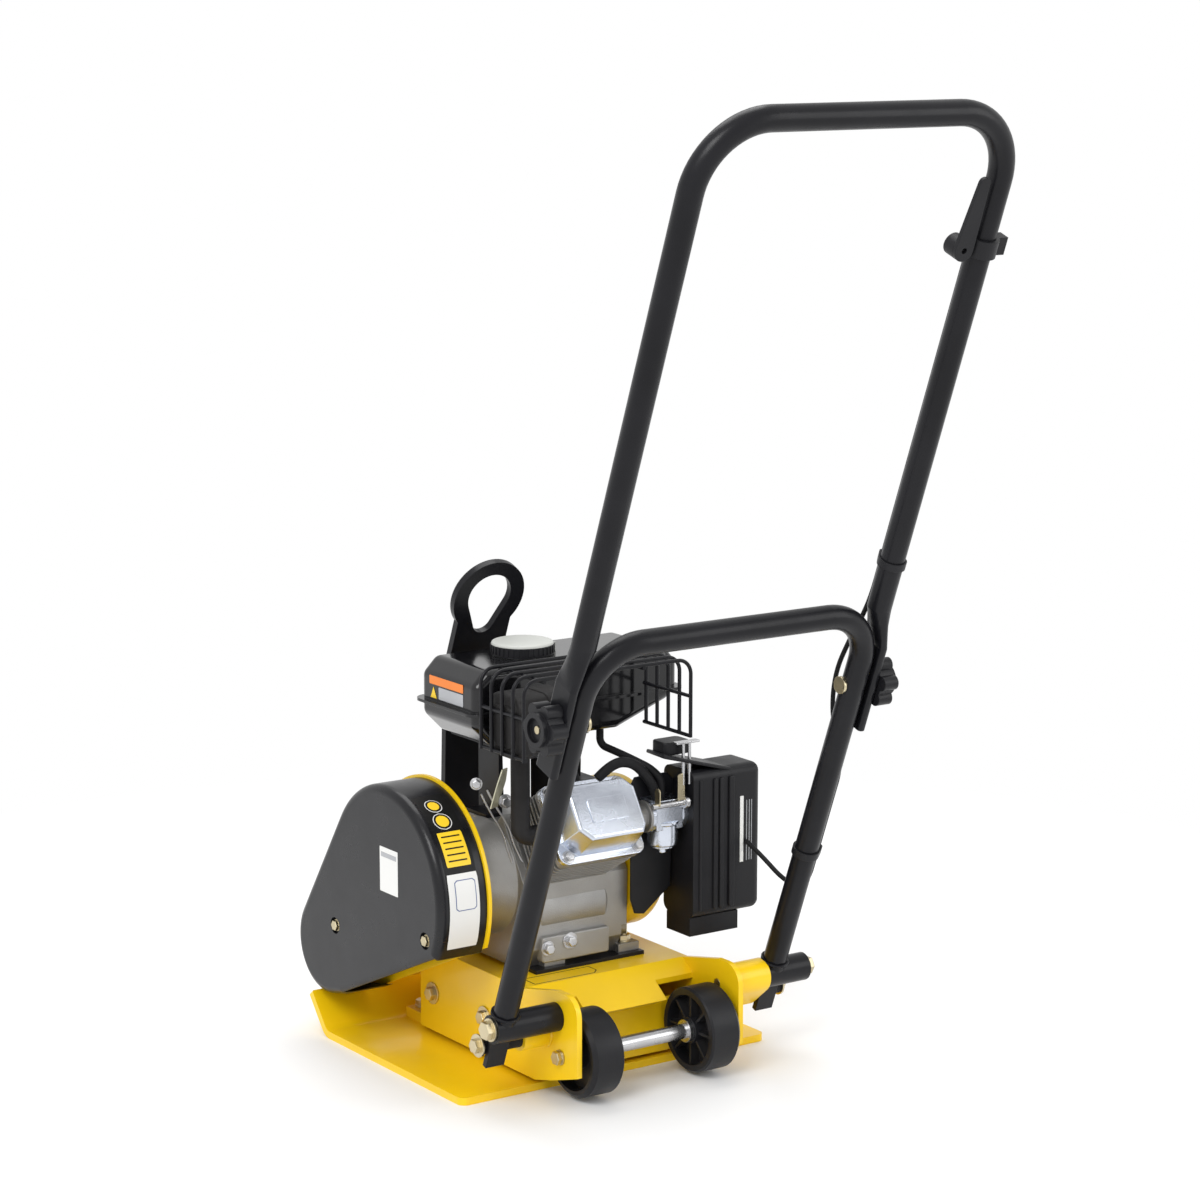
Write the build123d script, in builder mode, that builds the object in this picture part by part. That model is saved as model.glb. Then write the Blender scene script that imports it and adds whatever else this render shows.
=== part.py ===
from build123d import *
import os
from math import acos, atan2, cos, hypot, radians, sin

# Plate compactor.  Millimetres; +Z up, +Y the way it travels, +X its right-hand side.
# The origin is the middle of the sole, on the ground.

# ---------------------------------------------------------------- general fits
face_gap = 0.3          # between faces on bodies that move past each other
run_gap = 0.05          # radial, a shaft in its bearing or a bolt in its bore
hole_gap = 0.3          # radial, a bolt through a clearance hole
seat_gap = 0.1          # radial, a ring pressed or dropped into its seat

# ---------------------------------------------------------------- sole
plate_w = 385.0         # width of the sole across the machine
sole_t = 8.0
sole_rear = -140.0
sole_front = 138.0      # where the flat sole turns up into the front flap
flap_run = 33.0
flap_rise = 40.0
lug_t = 6.0             # upright lugs that carry the rubber mounts
lug_w = 40.0
lug_top = 74.0

# ---------------------------------------------------------------- engine deck
deck_outer = 104.0      # outer face of each side plate
side_t = 6.0
deck_t = 5.0
deck_top = 104.0
deck_front = 84.0
deck_crease = -118.0    # where the top starts to slope down to the rear
fold_y = -158.0         # lower edge of the rear slope
fold_z = 75.0
rear_wall = -136.0      # outer face of the recessed rear wall
deck_floor_gap = 4.0    # air between the side plates and the sole
bracket_rear = -218.0
bracket_top = 117.0
bracket_round = 22.0

# ---------------------------------------------------------------- rubber mounts
mount_r = 16.0
mount_z = 54.0
mount_ys = (58.0, -45.0)
mount_len = 28.0

# ---------------------------------------------------------------- fasteners
m8_r = 4.0
m8_flats = 13.0
m8_head = 5.5
m8_washer_r = 8.0
big_washer_r = 12.0     # under the bolts that hold the rubber mounts and stops
m10_r = 5.0
m10_flats = 17.0
m10_head = 7.0
m10_washer_r = 12.0
washer_t = 2.0
m6_r = 3.0
m6_flats = 10.0
m6_head = 4.0
m6_washer_r = 6.5
screw_washer_r = 4.5
screw_bite = 12.0       # thread length beyond the clamped plate

# ---------------------------------------------------------------- exciter
ex_y = 140.0
ex_z = 96.0
ex_r = 42.0             # outer radius of the housing
ex_bore = 34.0
ex_half = 96.0          # half the housing's length
ex_cover_t = 8.0
ex_shaft_r = 12.5
ex_foot_rear = 92.0
ex_foot_front = 128.0
ex_foot_t = 12.0
ex_saddle_half = 66.0
ex_weight_r = 29.0      # eccentric weight
ex_weight_half = 55.0
ex_bearing_w = 18.0

# ---------------------------------------------------------------- belt drive
crank_y = -8.0
crank_z = 200.0
belt_x = -170.0         # middle of the belt
belt_top = 13.0
belt_bottom = 8.0
belt_h = 8.0
belt_side_gap = 0.25
sheave_w = 22.0
ex_sheave_r = 30.0
clutch_sheave_r = 40.0
drum_r = 44.0
drum_wall = 4.0
drum_mouth = -138.0     # open edge of the clutch drum
crank_end_r = 9.5
crank_journal_r = 12.5
crank_tip = -184.0
clutch_hub_r = 18.0
shoe_travel = 1.5

# ---------------------------------------------------------------- belt cover
cover_outer = -190.0
cover_inner = -133.0
cover_wall = 3.0
cover_front_r = 55.0
cover_rear_r = 112.0
cover_bottom_r = 36.0
back_plate_t = 4.0
back_plate_lip = 3.0
spacer_t = 12.0         # black spacer between the back plate and the engine

# ---------------------------------------------------------------- engine
plate_front = 73.0      # steel plate under the engine
plate_rear = -87.0
plate_left = -67.0
plate_right = 70.0
engine_plate_t = 4.0
case_left = -70.0
case_right = 52.0
side_cover_r = 62.0
side_cover_end_r = 46.0
side_cover_end = -117.0
cyl_x = -20.0           # middle of the cylinder across the machine
cyl_angle = 32.0        # cylinder above the horizontal, pointing to the rear
cyl_start = 62.0        # distances along the cylinder from the crankshaft
cyl_end = 96.0
head_end = 128.0
valve_end = 168.0
flange_t = 6.0          # flange under the rocker cover
head_w = 104.0
head_h = 86.0
head_corner = 10.0
rocker_box = (          # outline of the cover's raised box
    (-46, -20), (-30, -36), (38, -36), (46, -24), (46, 22), (32, 36), (-36, 36), (-46, 26),
)
bore_r = 27.0
throw = 21.0
main_bearing_r = 26.0
main_bearing_w = 15.0

# ---------------------------------------------------------------- fan and starter
shroud_left = 54.0
shroud_right = 100.0
shroud_r = 82.0
shroud_wall = 2.5
recoil_r = 64.0
recoil_right = 124.0

# ---------------------------------------------------------------- air filter
filter_left = 103.0
filter_split = 152.0
filter_right = 192.0
filter_rear = -130.0
filter_front = -76.0
filter_low = 146.0
filter_high = 306.0
filter_wall = 3.0
carb_y = -105.0
carb_z = 260.0
carb_left = 62.0
carb_right = 96.0
carb_flange_r = 17.0
intake_r = 9.0
port_end = 58.0         # face of the intake port on the head
bowl_x = 79.0
bowl_r = 13.0
bowl_h = 24.0

# ---------------------------------------------------------------- tank
tank_left = -120.0
tank_right = 135.0
tank_rear = -57.0
tank_front = 52.0
tank_low = 345.0
tank_seam = 381.0
tank_high = 426.0
tank_wall = 2.5
seam_out = 7.0
seam_t = 3.0
cap_x = -26.0
cap_y = 0.0
cap_r = 33.0
neck_r = 25.0

# ---------------------------------------------------------------- muffler and guard
muffler_left = -118.0
muffler_right = -50.0
muffler_rear = -138.0
muffler_front = -76.0
muffler_low = 346.0
muffler_high = 412.0
guard_left = -122.0
guard_right = 84.0
guard_rear = -150.0
guard_front = -70.0
guard_top = 433.0
guard_low = 350.0
guard_wire = 2.0        # wire radius
guard_bend = 16.0
guard_hoops = 5

# ---------------------------------------------------------------- wheels
wheel_r = 45.0
wheel_in = 55.0
wheel_out = 92.0
axle_y = -188.0
axle_z = 49.0
axle_r = 8.0

# ---------------------------------------------------------------- handle
tube_r = 12.5
tube_wall = 2.0
pivot_y = -180.0
pivot_z = 90.0
sleeve_r = 15.0
left_sleeve_end = -182.0
boss_end = 155.5        # outer face of the right-hand yellow boss
right_sleeve_end = 211.0
stop_dy = 22.0          # rubber stop, ahead of and below the pivot
stop_dz = -22.0
stop_r = 10.0
left_boss_end = -136.0
left_stop_end = -183.0
right_stop_end = 193.0
hoop_half = 169.0
hoop_y = -343.0
hoop_z = 504.0
hoop_bend = 58.0
upper_half = 178.0
upper_y = -532.0
upper_z = 1004.0
upper_bend = 70.0
knob_y = -308.5
knob_z = 424.7
flat_t = 9.0            # flattened lower end of the upper handle
flat_w = 32.0
flat_below = 50.0
flat_above = 46.0
flat_blend = 42.0
knob_r = 27.0
knob_lobes = 6
knob_t = 22.0
knob_dish = 4.0         # dished face of the knob
knob_dish_r = 12.0
cable_r = 2.5

# ---------------------------------------------------------------- lifting eye
eye_x = -34.0
eye_t = 8.0
eye_low = 62.0
eye_bend_z = 400.0
eye_lean = 22.0
eye_base_half = 42.0
eye_neck_half = 34.0
eye_ring_r = 43.0
eye_ring_up = 88.0      # from the bend to the middle of the ring

os.makedirs("parts", exist_ok=True)


def save(part, name):
    """Label a finished piece and write its STEP file."""
    part.label = name
    export_step(part, f"parts/{name}.step")


def facing(direction, x, y, z):
    """Plane at a point whose normal is the given direction."""
    side = (0, 0, 1) if abs(direction[2]) < 0.9 else (1, 0, 0)
    return Plane(origin=(x, y, z), x_dir=Vector(*side).cross(Vector(*direction)), z_dir=direction)


def across(x):
    """Plane across the machine at x: its own x is Y, its own y is Z."""
    return Plane.YZ.offset(x)


def axial(y, z):
    """Plane that holds a crosswise axis: its own x is X, its own y is up from the axis."""
    return Plane(origin=(0, y, z), x_dir=(1, 0, 0), z_dir=(0, -1, 0))


def cross_axis(y, z):
    return Axis((0, y, z), (1, 0, 0))


def along_cylinder(distance):
    """Plane square to the cylinder, that far from the crankshaft's axis."""
    reach = (0, -cos(radians(cyl_angle)), sin(radians(cyl_angle)))
    origin = (cyl_x, crank_y + distance * reach[1], crank_z + distance * reach[2])
    return Plane(origin=origin, x_dir=(1, 0, 0), z_dir=reach)


def rod(x0, x1, y, z, radius, mode=Mode.ADD):
    """Round bar across the machine from x0 to x1, inside the active part."""
    with BuildSketch(across(x0)) as section:
        with Locations((y, z)):
            Circle(radius)
    extrude(section.sketch, amount=x1 - x0, mode=mode)


def block(x0, x1, y0, y1, z0, z1, mode=Mode.ADD):
    """Box between two corners, inside the active part."""
    with BuildSketch(Plane.XY.offset(z0)) as section:
        with Locations(((x0 + x1) / 2, (y0 + y1) / 2)):
            Rectangle(x1 - x0, y1 - y0)
    extrude(section.sketch, amount=z1 - z0, mode=mode)


def hex_bolt(radius, flats, head, washer_radius, length):
    """Hex bolt with its washer on z = 0, head above and shank below."""
    with BuildPart() as bolt:
        with BuildSketch():
            Circle(washer_radius)
        extrude(amount=washer_t)
        with BuildSketch(Plane.XY.offset(washer_t)):
            RegularPolygon(flats / 2, 6, major_radius=False)
        extrude(amount=head)
        chamfer(bolt.faces().sort_by(Axis.Z)[-1].edges(), 0.6)
        with BuildSketch():
            Circle(radius)
        extrude(amount=-length)
    return bolt.part


def tube_along(points, radii, radius):
    """Round bar that follows straight runs joined by arcs."""
    with BuildPart() as tube:
        with BuildLine() as route:
            FilletPolyline(*points, radius=radii)
        start = route.wires()[0]
        with BuildSketch(Plane(origin=start @ 0, z_dir=start % 0)):
            Circle(radius)
        sweep(path=start)
    return tube.part


def smooth_radii(points):
    """As large an arc at each corner of a route as its two runs allow."""
    radii = []
    for before, corner, after in zip(points, points[1:], points[2:]):
        run_in = Vector(*corner) - Vector(*before)
        run_out = Vector(*after) - Vector(*corner)
        half_turn = radians(run_in.get_angle(run_out) / 2)
        radii.append(0.45 * min(run_in.length, run_out.length) / sin(half_turn) * cos(half_turn))
    return radii


# ================================================================ sole
flap_angle = atan2(flap_rise, flap_run)
with BuildPart() as base_plate:
    with BuildSketch(across(-plate_w / 2)) as sole:
        with BuildLine():
            Polyline(
                (sole_rear, 0),
                (sole_front, 0),
                (sole_front + flap_run, flap_rise),
                (sole_front + flap_run - sole_t * sin(flap_angle), flap_rise + sole_t * cos(flap_angle)),
                (sole_front - sole_t * (1 - cos(flap_angle)) / sin(flap_angle), sole_t),
                (sole_rear, sole_t),
                close=True,
            )
        make_face()
        fillet(sole.vertices().sort_by_distance((sole_front, 0, 0))[0], 2.5 * sole_t)
        fillet(sole.vertices().sort_by_distance((sole_front, sole_t, 0))[0], 1.5 * sole_t)
    extrude(amount=plate_w)
    fillet(base_plate.edges().filter_by(Axis.Z).group_by(Axis.Y)[0], 9)
    tip_edges = base_plate.faces().sort_by(Axis.Y)[-1].edges().group_by(Axis.X)
    fillet(tip_edges[0] + tip_edges[-1], 2)
    lug_x = deck_outer - side_t - mount_len - lug_t / 2
    with Locations(*[(side * lug_x, y, sole_t) for side in (-1, 1) for y in mount_ys]):
        Box(lug_t, lug_w, lug_top - sole_t, align=(Align.CENTER, Align.CENTER, Align.MIN))
    for mount_y in mount_ys:
        rod(-2 * lug_x, 2 * lug_x, mount_y, mount_z, m8_r + hole_gap, Mode.SUBTRACT)
    foot_bolt_ys = (ex_foot_rear + 9, ex_foot_front - 9)
    foot_bolt_x = (ex_half + ex_saddle_half) / 2
    with Locations(*[(side * foot_bolt_x, y, sole_t) for side in (-1, 1) for y in foot_bolt_ys]):
        Hole(m8_r + hole_gap, sole_t)
save(base_plate.part, "base_plate")

# ================================================================ exciter
with BuildPart() as exciter_housing:
    block(-ex_half, ex_half, ex_foot_rear, ex_foot_front, sole_t, sole_t + ex_foot_t)
    with BuildSketch(across(-ex_saddle_half)):
        with BuildLine():
            Polyline(
                (ex_foot_rear, sole_t + ex_foot_t),
                (ex_foot_front, sole_t + ex_foot_t),
                (ex_y + 0.6 * ex_r, ex_z - 0.6 * ex_r),
                (ex_y, ex_z),
                (ex_y - 0.85 * ex_r, ex_z),
                close=True,
            )
        make_face()
    extrude(amount=2 * ex_saddle_half)
    rod(-ex_half, ex_half, ex_y, ex_z, ex_r)
    for end in (-1, 1):
        rod(end * ex_half, end * (ex_half - 12), ex_y, ex_z, ex_r + 2)
    rod(-ex_half, ex_half, ex_y, ex_z, ex_bore, Mode.SUBTRACT)
    with Locations(*[(side * foot_bolt_x, y, sole_t + ex_foot_t) for side in (-1, 1) for y in foot_bolt_ys]):
        Hole(m8_r + hole_gap, ex_foot_t)
    cover_screw_r = (ex_bore + ex_r + 2) / 2
    for end in (-1, 1):
        with BuildSketch(across(end * ex_half)):
            with Locations((ex_y, ex_z)):
                with PolarLocations(cover_screw_r, 4, 45):
                    Circle(m6_r + seat_gap)
        extrude(amount=-end * 14, mode=Mode.SUBTRACT)
save(exciter_housing.part, "exciter_housing")

with BuildPart() as exciter_covers:
    for end in (-1, 1):
        rod(end * ex_half, end * (ex_half + ex_cover_t), ex_y, ex_z, ex_r + 2)
        rod(end * (ex_half + ex_cover_t), end * (ex_half + ex_cover_t + 5), ex_y, ex_z, 22)
        with BuildSketch(across(end * ex_half)):
            with Locations((ex_y, ex_z)):
                with PolarLocations(cover_screw_r, 4, 45):
                    Circle(m6_r + seat_gap)
        extrude(amount=end * ex_cover_t, mode=Mode.SUBTRACT)
    rod(-ex_half - ex_cover_t - 5, -ex_half, ex_y, ex_z, ex_shaft_r + 1, Mode.SUBTRACT)
save(exciter_covers.part, "exciter_covers")

with BuildPart() as exciter_shaft:
    rod(belt_x - sheave_w / 2, ex_half - 4, ex_y, ex_z, ex_shaft_r)
    with BuildSketch(across(-ex_weight_half)):
        with Locations((ex_y, ex_z)):
            Circle(ex_weight_r)
        with Locations((ex_y, ex_z + ex_weight_r + ex_shaft_r / 2)):
            Rectangle(2 * ex_weight_r, 2 * ex_weight_r, mode=Mode.SUBTRACT)
    extrude(amount=2 * ex_weight_half)
save(exciter_shaft.part, "exciter_shaft")


def sheave_outline(outer_r, bore):
    """Half section of a single-groove pulley, drawn on a plane that holds its axis."""
    top = belt_top / 2 + belt_side_gap
    slope = (belt_top - belt_bottom) / 2 / belt_h
    depth = belt_h + 2
    Polygon(
        (belt_x - sheave_w / 2, bore),
        (belt_x + sheave_w / 2, bore),
        (belt_x + sheave_w / 2, outer_r),
        (belt_x + top, outer_r),
        (belt_x + top - slope * depth, outer_r - depth),
        (belt_x - top + slope * depth, outer_r - depth),
        (belt_x - top, outer_r),
        (belt_x - sheave_w / 2, outer_r),
        align=None,
    )


with BuildPart() as exciter_pulley:
    with BuildSketch(axial(ex_y, ex_z)):
        sheave_outline(ex_sheave_r, ex_shaft_r + run_gap)
    revolve(axis=cross_axis(ex_y, ex_z))
save(exciter_pulley.part, "exciter_pulley")

with BuildPart() as clutch_drum:
    with BuildSketch(axial(crank_y, crank_z)):
        sheave_outline(clutch_sheave_r, crank_end_r + run_gap)
        with Locations((belt_x + sheave_w / 2, crank_end_r + run_gap)):
            Rectangle(3, drum_r - crank_end_r - run_gap, align=(Align.MIN, Align.MIN))
        with Locations((belt_x + sheave_w / 2, drum_r - drum_wall)):
            Rectangle(drum_mouth - belt_x - sheave_w / 2, drum_wall, align=(Align.MIN, Align.MIN))
    revolve(axis=cross_axis(crank_y, crank_z))
save(clutch_drum.part, "clutch_drum")

belt_run = hypot(ex_y - crank_y, ex_z - crank_z)
belt_dir = ((ex_y - crank_y) / belt_run, (ex_z - crank_z) / belt_run)
crank_mid_r = clutch_sheave_r - belt_h / 2
ex_mid_r = ex_sheave_r - belt_h / 2
wrap = acos((crank_mid_r - ex_mid_r) / belt_run)


def belt_point(centre, radius, turn):
    """Point on a pulley's belt line, turned from the line between the two shafts."""
    away = (
        belt_dir[0] * cos(turn) - belt_dir[1] * sin(turn),
        belt_dir[0] * sin(turn) + belt_dir[1] * cos(turn),
    )
    return (centre[0] + radius * away[0], centre[1] + radius * away[1])


crank_centre = (crank_y, crank_z)
ex_centre = (ex_y, ex_z)
with BuildPart() as v_belt:
    with BuildLine(across(belt_x)) as belt_line:
        upper_start = belt_point(crank_centre, crank_mid_r, wrap)
        upper_end = belt_point(ex_centre, ex_mid_r, wrap)
        lower_start = belt_point(ex_centre, ex_mid_r, -wrap)
        lower_end = belt_point(crank_centre, crank_mid_r, -wrap)
        Line(upper_start, upper_end)
        ThreePointArc(upper_end, belt_point(ex_centre, ex_mid_r, 0), lower_start)
        Line(lower_start, lower_end)
        ThreePointArc(lower_end, belt_point(crank_centre, crank_mid_r, radians(180)), upper_start)
    run_dir = Vector(0, upper_end[0] - upper_start[0], upper_end[1] - upper_start[1]).normalized()
    with BuildSketch(Plane(origin=(belt_x, *upper_start), x_dir=(1, 0, 0), z_dir=run_dir)):
        with BuildLine():
            Polyline(
                (-belt_top / 2, -belt_h / 2),
                (belt_top / 2, -belt_h / 2),
                (belt_bottom / 2, belt_h / 2),
                (-belt_bottom / 2, belt_h / 2),
                close=True,
            )
        make_face()
    sweep(path=belt_line.wires()[0])
save(v_belt.part, "v_belt")

# ================================================================ engine deck
deck_low = sole_t + deck_floor_gap
with BuildPart() as engine_deck:
    for side in (-1, 1):
        with BuildSketch(across(side * deck_outer)) as side_plate:
            with BuildLine():
                Polyline(
                    (deck_front, deck_low),
                    (deck_front, deck_top - 24),
                    (deck_front - 20, deck_top),
                    (deck_crease, deck_top),
                    (pivot_y, bracket_top),
                    (bracket_rear, bracket_top),
                    (bracket_rear, 34),
                    (pivot_y + 8, 20),
                    (sole_rear, deck_low),
                    close=True,
                )
            make_face()
            corners = side_plate.vertices()
            fillet(corners.sort_by_distance((bracket_rear, bracket_top, 0))[0], bracket_round)
            fillet(corners.sort_by_distance((bracket_rear, 34, 0))[0], bracket_round)
        extrude(amount=-side * side_t)
    inner = deck_outer - side_t
    with BuildSketch(across(-inner)):
        with BuildLine():
            Polyline(
                (deck_front, deck_top),
                (deck_crease, deck_top),
                (fold_y, fold_z),
                (rear_wall, fold_z - 10),
                (rear_wall, deck_low),
                (rear_wall + deck_t, deck_low),
                (rear_wall + deck_t, fold_z - 6),
                (fold_y + 9, fold_z + 1),
                (deck_crease + 2, deck_top - deck_t),
                (deck_front - deck_t, deck_top - deck_t),
                (deck_front - deck_t, eye_low),
                (deck_front, eye_low),
                close=True,
            )
        make_face()
    extrude(amount=2 * inner)
    for side in (-1, 1):
        block(
            min(side * (wheel_in - 5), side * (inner + 0.01)),
            max(side * (wheel_in - 5), side * (inner + 0.01)),
            fold_y - 5,
            rear_wall,
            fold_z - 15,
            deck_top,
            Mode.SUBTRACT,
        )
    # right-hand boss round the handle's pivot and stop, and the shorter left-hand one
    with BuildSketch(across(deck_outer)):
        with Locations((pivot_y, pivot_z)):
            Circle(sleeve_r + 3)
        with Locations((pivot_y + stop_dy, pivot_z + stop_dz)):
            Circle(stop_r + 5)
        make_hull()
    extrude(amount=boss_end - deck_outer)
    rod(-deck_outer, left_boss_end, pivot_y + stop_dy, pivot_z + stop_dz, stop_r + 4)
    for mount_y in mount_ys:
        rod(-2 * inner, 2 * inner, mount_y, mount_z, m8_r + hole_gap, Mode.SUBTRACT)
    rod(-2 * inner, 2 * inner, pivot_y, pivot_z, m10_r + hole_gap, Mode.SUBTRACT)
    rod(-2 * inner, 2 * inner, pivot_y + stop_dy, pivot_z + stop_dz, m8_r + hole_gap, Mode.SUBTRACT)
    rod(-2 * inner, 2 * inner, axle_y, axle_z, m8_r + hole_gap, Mode.SUBTRACT)
    engine_bolts = [(x, y) for x in (-39, 55) for y in (-70, 60)]
    with Locations(*[(x, y, deck_top) for x, y in engine_bolts]):
        Hole(m8_r + hole_gap, deck_t)
    eye_bolt_z = eye_low + 14
    eye_bolt_xs = (eye_x - 24, eye_x + 24)
    for bolt_x in eye_bolt_xs:
        with BuildSketch(Plane.XZ.offset(-deck_front - 1)):
            with Locations((bolt_x, eye_bolt_z)):
                Circle(m8_r + hole_gap)
        extrude(amount=deck_t + 2, mode=Mode.SUBTRACT)
save(engine_deck.part, "engine_deck")

with BuildPart() as rubber_mounts:
    for side in (-1, 1):
        for mount_y in mount_ys:
            rod(side * inner, side * (inner - mount_len), mount_y, mount_z, mount_r)
            rod(side * inner, side * (inner - mount_len), mount_y, mount_z, m8_r + seat_gap, Mode.SUBTRACT)
save(rubber_mounts.part, "rubber_mounts")

# ================================================================ wheels
with BuildPart() as wheel_axle:
    rod(-inner, inner, axle_y, axle_z, axle_r)
    for end in (-1, 1):
        rod(end * (wheel_in - 5), end * (wheel_in - face_gap), axle_y, axle_z, 12)
        rod(end * (wheel_out + face_gap), end * inner, axle_y, axle_z, 12)
        rod(end * inner, end * (inner - 18), axle_y, axle_z, m8_r + seat_gap, Mode.SUBTRACT)
save(wheel_axle.part, "wheel_axle")


def make_wheel(side):
    """Plastic wheel: rim, hub, web and eight ribs on its inner face."""
    with BuildPart() as wheel:
        with BuildSketch(axial(axle_y, axle_z)):
            with BuildLine():
                Polyline(
                    (wheel_in, wheel_r - 8),
                    (wheel_in, wheel_r - 2),
                    (wheel_in + 2, wheel_r),
                    (wheel_out - 4, wheel_r),
                    (wheel_out, wheel_r - 4),
                    (wheel_out, wheel_r - 8),
                    (wheel_out - 12, wheel_r - 9),
                    (wheel_out - 12, 16),
                    (wheel_out, 15),
                    (wheel_out, axle_r + run_gap),
                    (wheel_in, axle_r + run_gap),
                    (wheel_in, 14),
                    (wheel_in + 14, 15),
                    (wheel_in + 14, wheel_r - 9),
                    close=True,
                )
            make_face()
        revolve(axis=cross_axis(axle_y, axle_z))
        with BuildSketch(across(wheel_in + 3)):
            with Locations((axle_y, axle_z)):
                with PolarLocations((wheel_r + 4) / 2, 8):
                    Rectangle(wheel_r - 18, 3)
        extrude(amount=13)
    if side < 0:
        return wheel.part.mirror(Plane.YZ)
    return wheel.part


save(make_wheel(-1), "wheel_left")
save(make_wheel(1), "wheel_right")

# ================================================================ lifting eye
lean = radians(eye_lean)
lean_plane = Plane(
    origin=(eye_x, deck_front + eye_t, eye_bend_z), x_dir=(1, 0, 0), z_dir=(0, -cos(lean), -sin(lean))
)
with BuildPart() as lifting_eye:
    with BuildSketch(Plane.XZ.offset(-deck_front - eye_t)):
        with BuildLine():
            Polyline(
                (eye_x - eye_base_half, eye_low),
                (eye_x + eye_base_half, eye_low),
                (eye_x + eye_neck_half, eye_bend_z),
                (eye_x - eye_neck_half, eye_bend_z),
                close=True,
            )
        make_face()
    extrude(amount=eye_t)
    with BuildSketch(lean_plane):
        with Locations((0, eye_ring_up / 2)):
            Rectangle(2 * eye_neck_half - 2, eye_ring_up)
        with Locations((0, eye_ring_up)):
            Circle(eye_ring_r)
        with BuildSketch(mode=Mode.SUBTRACT):
            with Locations((0, eye_ring_up + 2)):
                Circle(26)
            with Locations((0, eye_ring_up - 30)):
                Circle(13)
            make_hull()
    extrude(amount=eye_t)
    with BuildSketch(across(eye_x - eye_neck_half + 1)):
        with Locations((deck_front + eye_t, eye_bend_z)):
            Circle(eye_t)
            Rectangle(2 * eye_t, 2 * eye_t, align=(Align.MIN, Align.CENTER), mode=Mode.SUBTRACT)
            Rectangle(2 * eye_t, eye_t, align=(Align.CENTER, Align.MAX), mode=Mode.SUBTRACT)
    extrude(amount=2 * eye_neck_half - 2)
    for bolt_x in eye_bolt_xs:
        with BuildSketch(Plane.XZ.offset(-deck_front - eye_t)):
            with Locations((bolt_x, eye_bolt_z)):
                Circle(m8_r + hole_gap)
        extrude(amount=eye_t, mode=Mode.SUBTRACT)
save(lifting_eye.part, "lifting_eye")

# ================================================================ engine
case_low = deck_top + engine_plate_t
with BuildPart() as engine_plate:
    block(plate_left, plate_right, plate_rear, plate_front, deck_top, case_low)
    with Locations(*[(x, y, case_low) for x, y in engine_bolts]):
        Hole(m8_r + hole_gap, engine_plate_t)
save(engine_plate.part, "engine_plate")

case_rear = -80.0
case_front = 64.0
case_roof = 256.0
foot_half = 13.0        # bolted feet of the crankcase
foot_t = 9.0
foot_heel = 20.0
foot_clear = 30.0       # spanner room over a foot
lug_half = 10.0
cyl_half = 40.0
cyl_reach = (-cos(radians(cyl_angle)), sin(radians(cyl_angle)))


def case_outline():
    """Crankcase in side view, with a square face for the cylinder at the rear."""
    root = (crank_y + cyl_start * cyl_reach[0], crank_z + cyl_start * cyl_reach[1])
    rise = (cyl_half * cyl_reach[1], -cyl_half * cyl_reach[0])
    Polygon(
        (case_rear + 12, case_low),
        (case_front - 12, case_low),
        (case_front, case_low + 20),
        (case_front, case_roof - 34),
        (case_front - 22, case_roof),
        (root[0] + rise[0] + 11, case_roof),
        (root[0] + rise[0], root[1] + rise[1]),
        (root[0] - rise[0], root[1] - rise[1]),
        (case_rear, case_low + 20),
        align=None,
    )


with BuildPart() as crankcase:
    with BuildSketch(across(case_left)):
        case_outline()
    extrude(amount=case_right - case_left)
    for foot_x, foot_y in engine_bolts:
        inward = 1 if foot_y < 0 else -1
        heel = foot_y + inward * foot_heel
        foot_y0, foot_y1 = sorted((foot_y - inward * lug_half, heel))
        block(foot_x - foot_half, foot_x + foot_half, foot_y0, foot_y1, case_low, case_low + foot_t)
        block(
            foot_x - lug_half, foot_x + lug_half,
            foot_y - lug_half, foot_y + lug_half,
            case_low + foot_t, case_low + foot_clear,
            Mode.SUBTRACT,
        )
    inner_wall = case_right - 18
    rod(case_left, inner_wall, crank_y, crank_z, 50, Mode.SUBTRACT)
    block(case_left, inner_wall, case_rear + 22, case_front - 22, case_low + 8, crank_z, Mode.SUBTRACT)
    rod(inner_wall, inner_wall + main_bearing_w, crank_y, crank_z, main_bearing_r, Mode.SUBTRACT)
    rod(inner_wall, case_right, crank_y, crank_z, crank_journal_r + 1, Mode.SUBTRACT)
    with BuildSketch(along_cylinder(30)):
        Circle(bore_r + 1)
    extrude(amount=cyl_start - 30 + 12, mode=Mode.SUBTRACT)
    with Locations(*[(x, y, case_low + 9) for x, y in engine_bolts]):
        Hole(m8_r + hole_gap, 9)
save(crankcase.part, "crankcase")

with BuildPart() as side_cover:
    with BuildSketch(across(case_left)):
        case_outline()
    extrude(amount=-8)
    with BuildSketch(across(case_left - 8)):
        with Locations((crank_y, crank_z - 4)):
            Circle(side_cover_r)
    with BuildSketch(across(side_cover_end)):
        with Locations((crank_y, crank_z)):
            Circle(side_cover_end_r)
    loft()
    rod(case_left - main_bearing_w, case_left, crank_y, crank_z, main_bearing_r, Mode.SUBTRACT)
    rod(side_cover_end, case_left, crank_y, crank_z, crank_journal_r + 1, Mode.SUBTRACT)
    for foot_x, foot_y in engine_bolts:
        block(
            foot_x - 40, foot_x + lug_half,
            foot_y - lug_half, foot_y + lug_half,
            case_low, case_low + foot_clear,
            Mode.SUBTRACT,
        )
save(side_cover.part, "side_cover")

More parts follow.
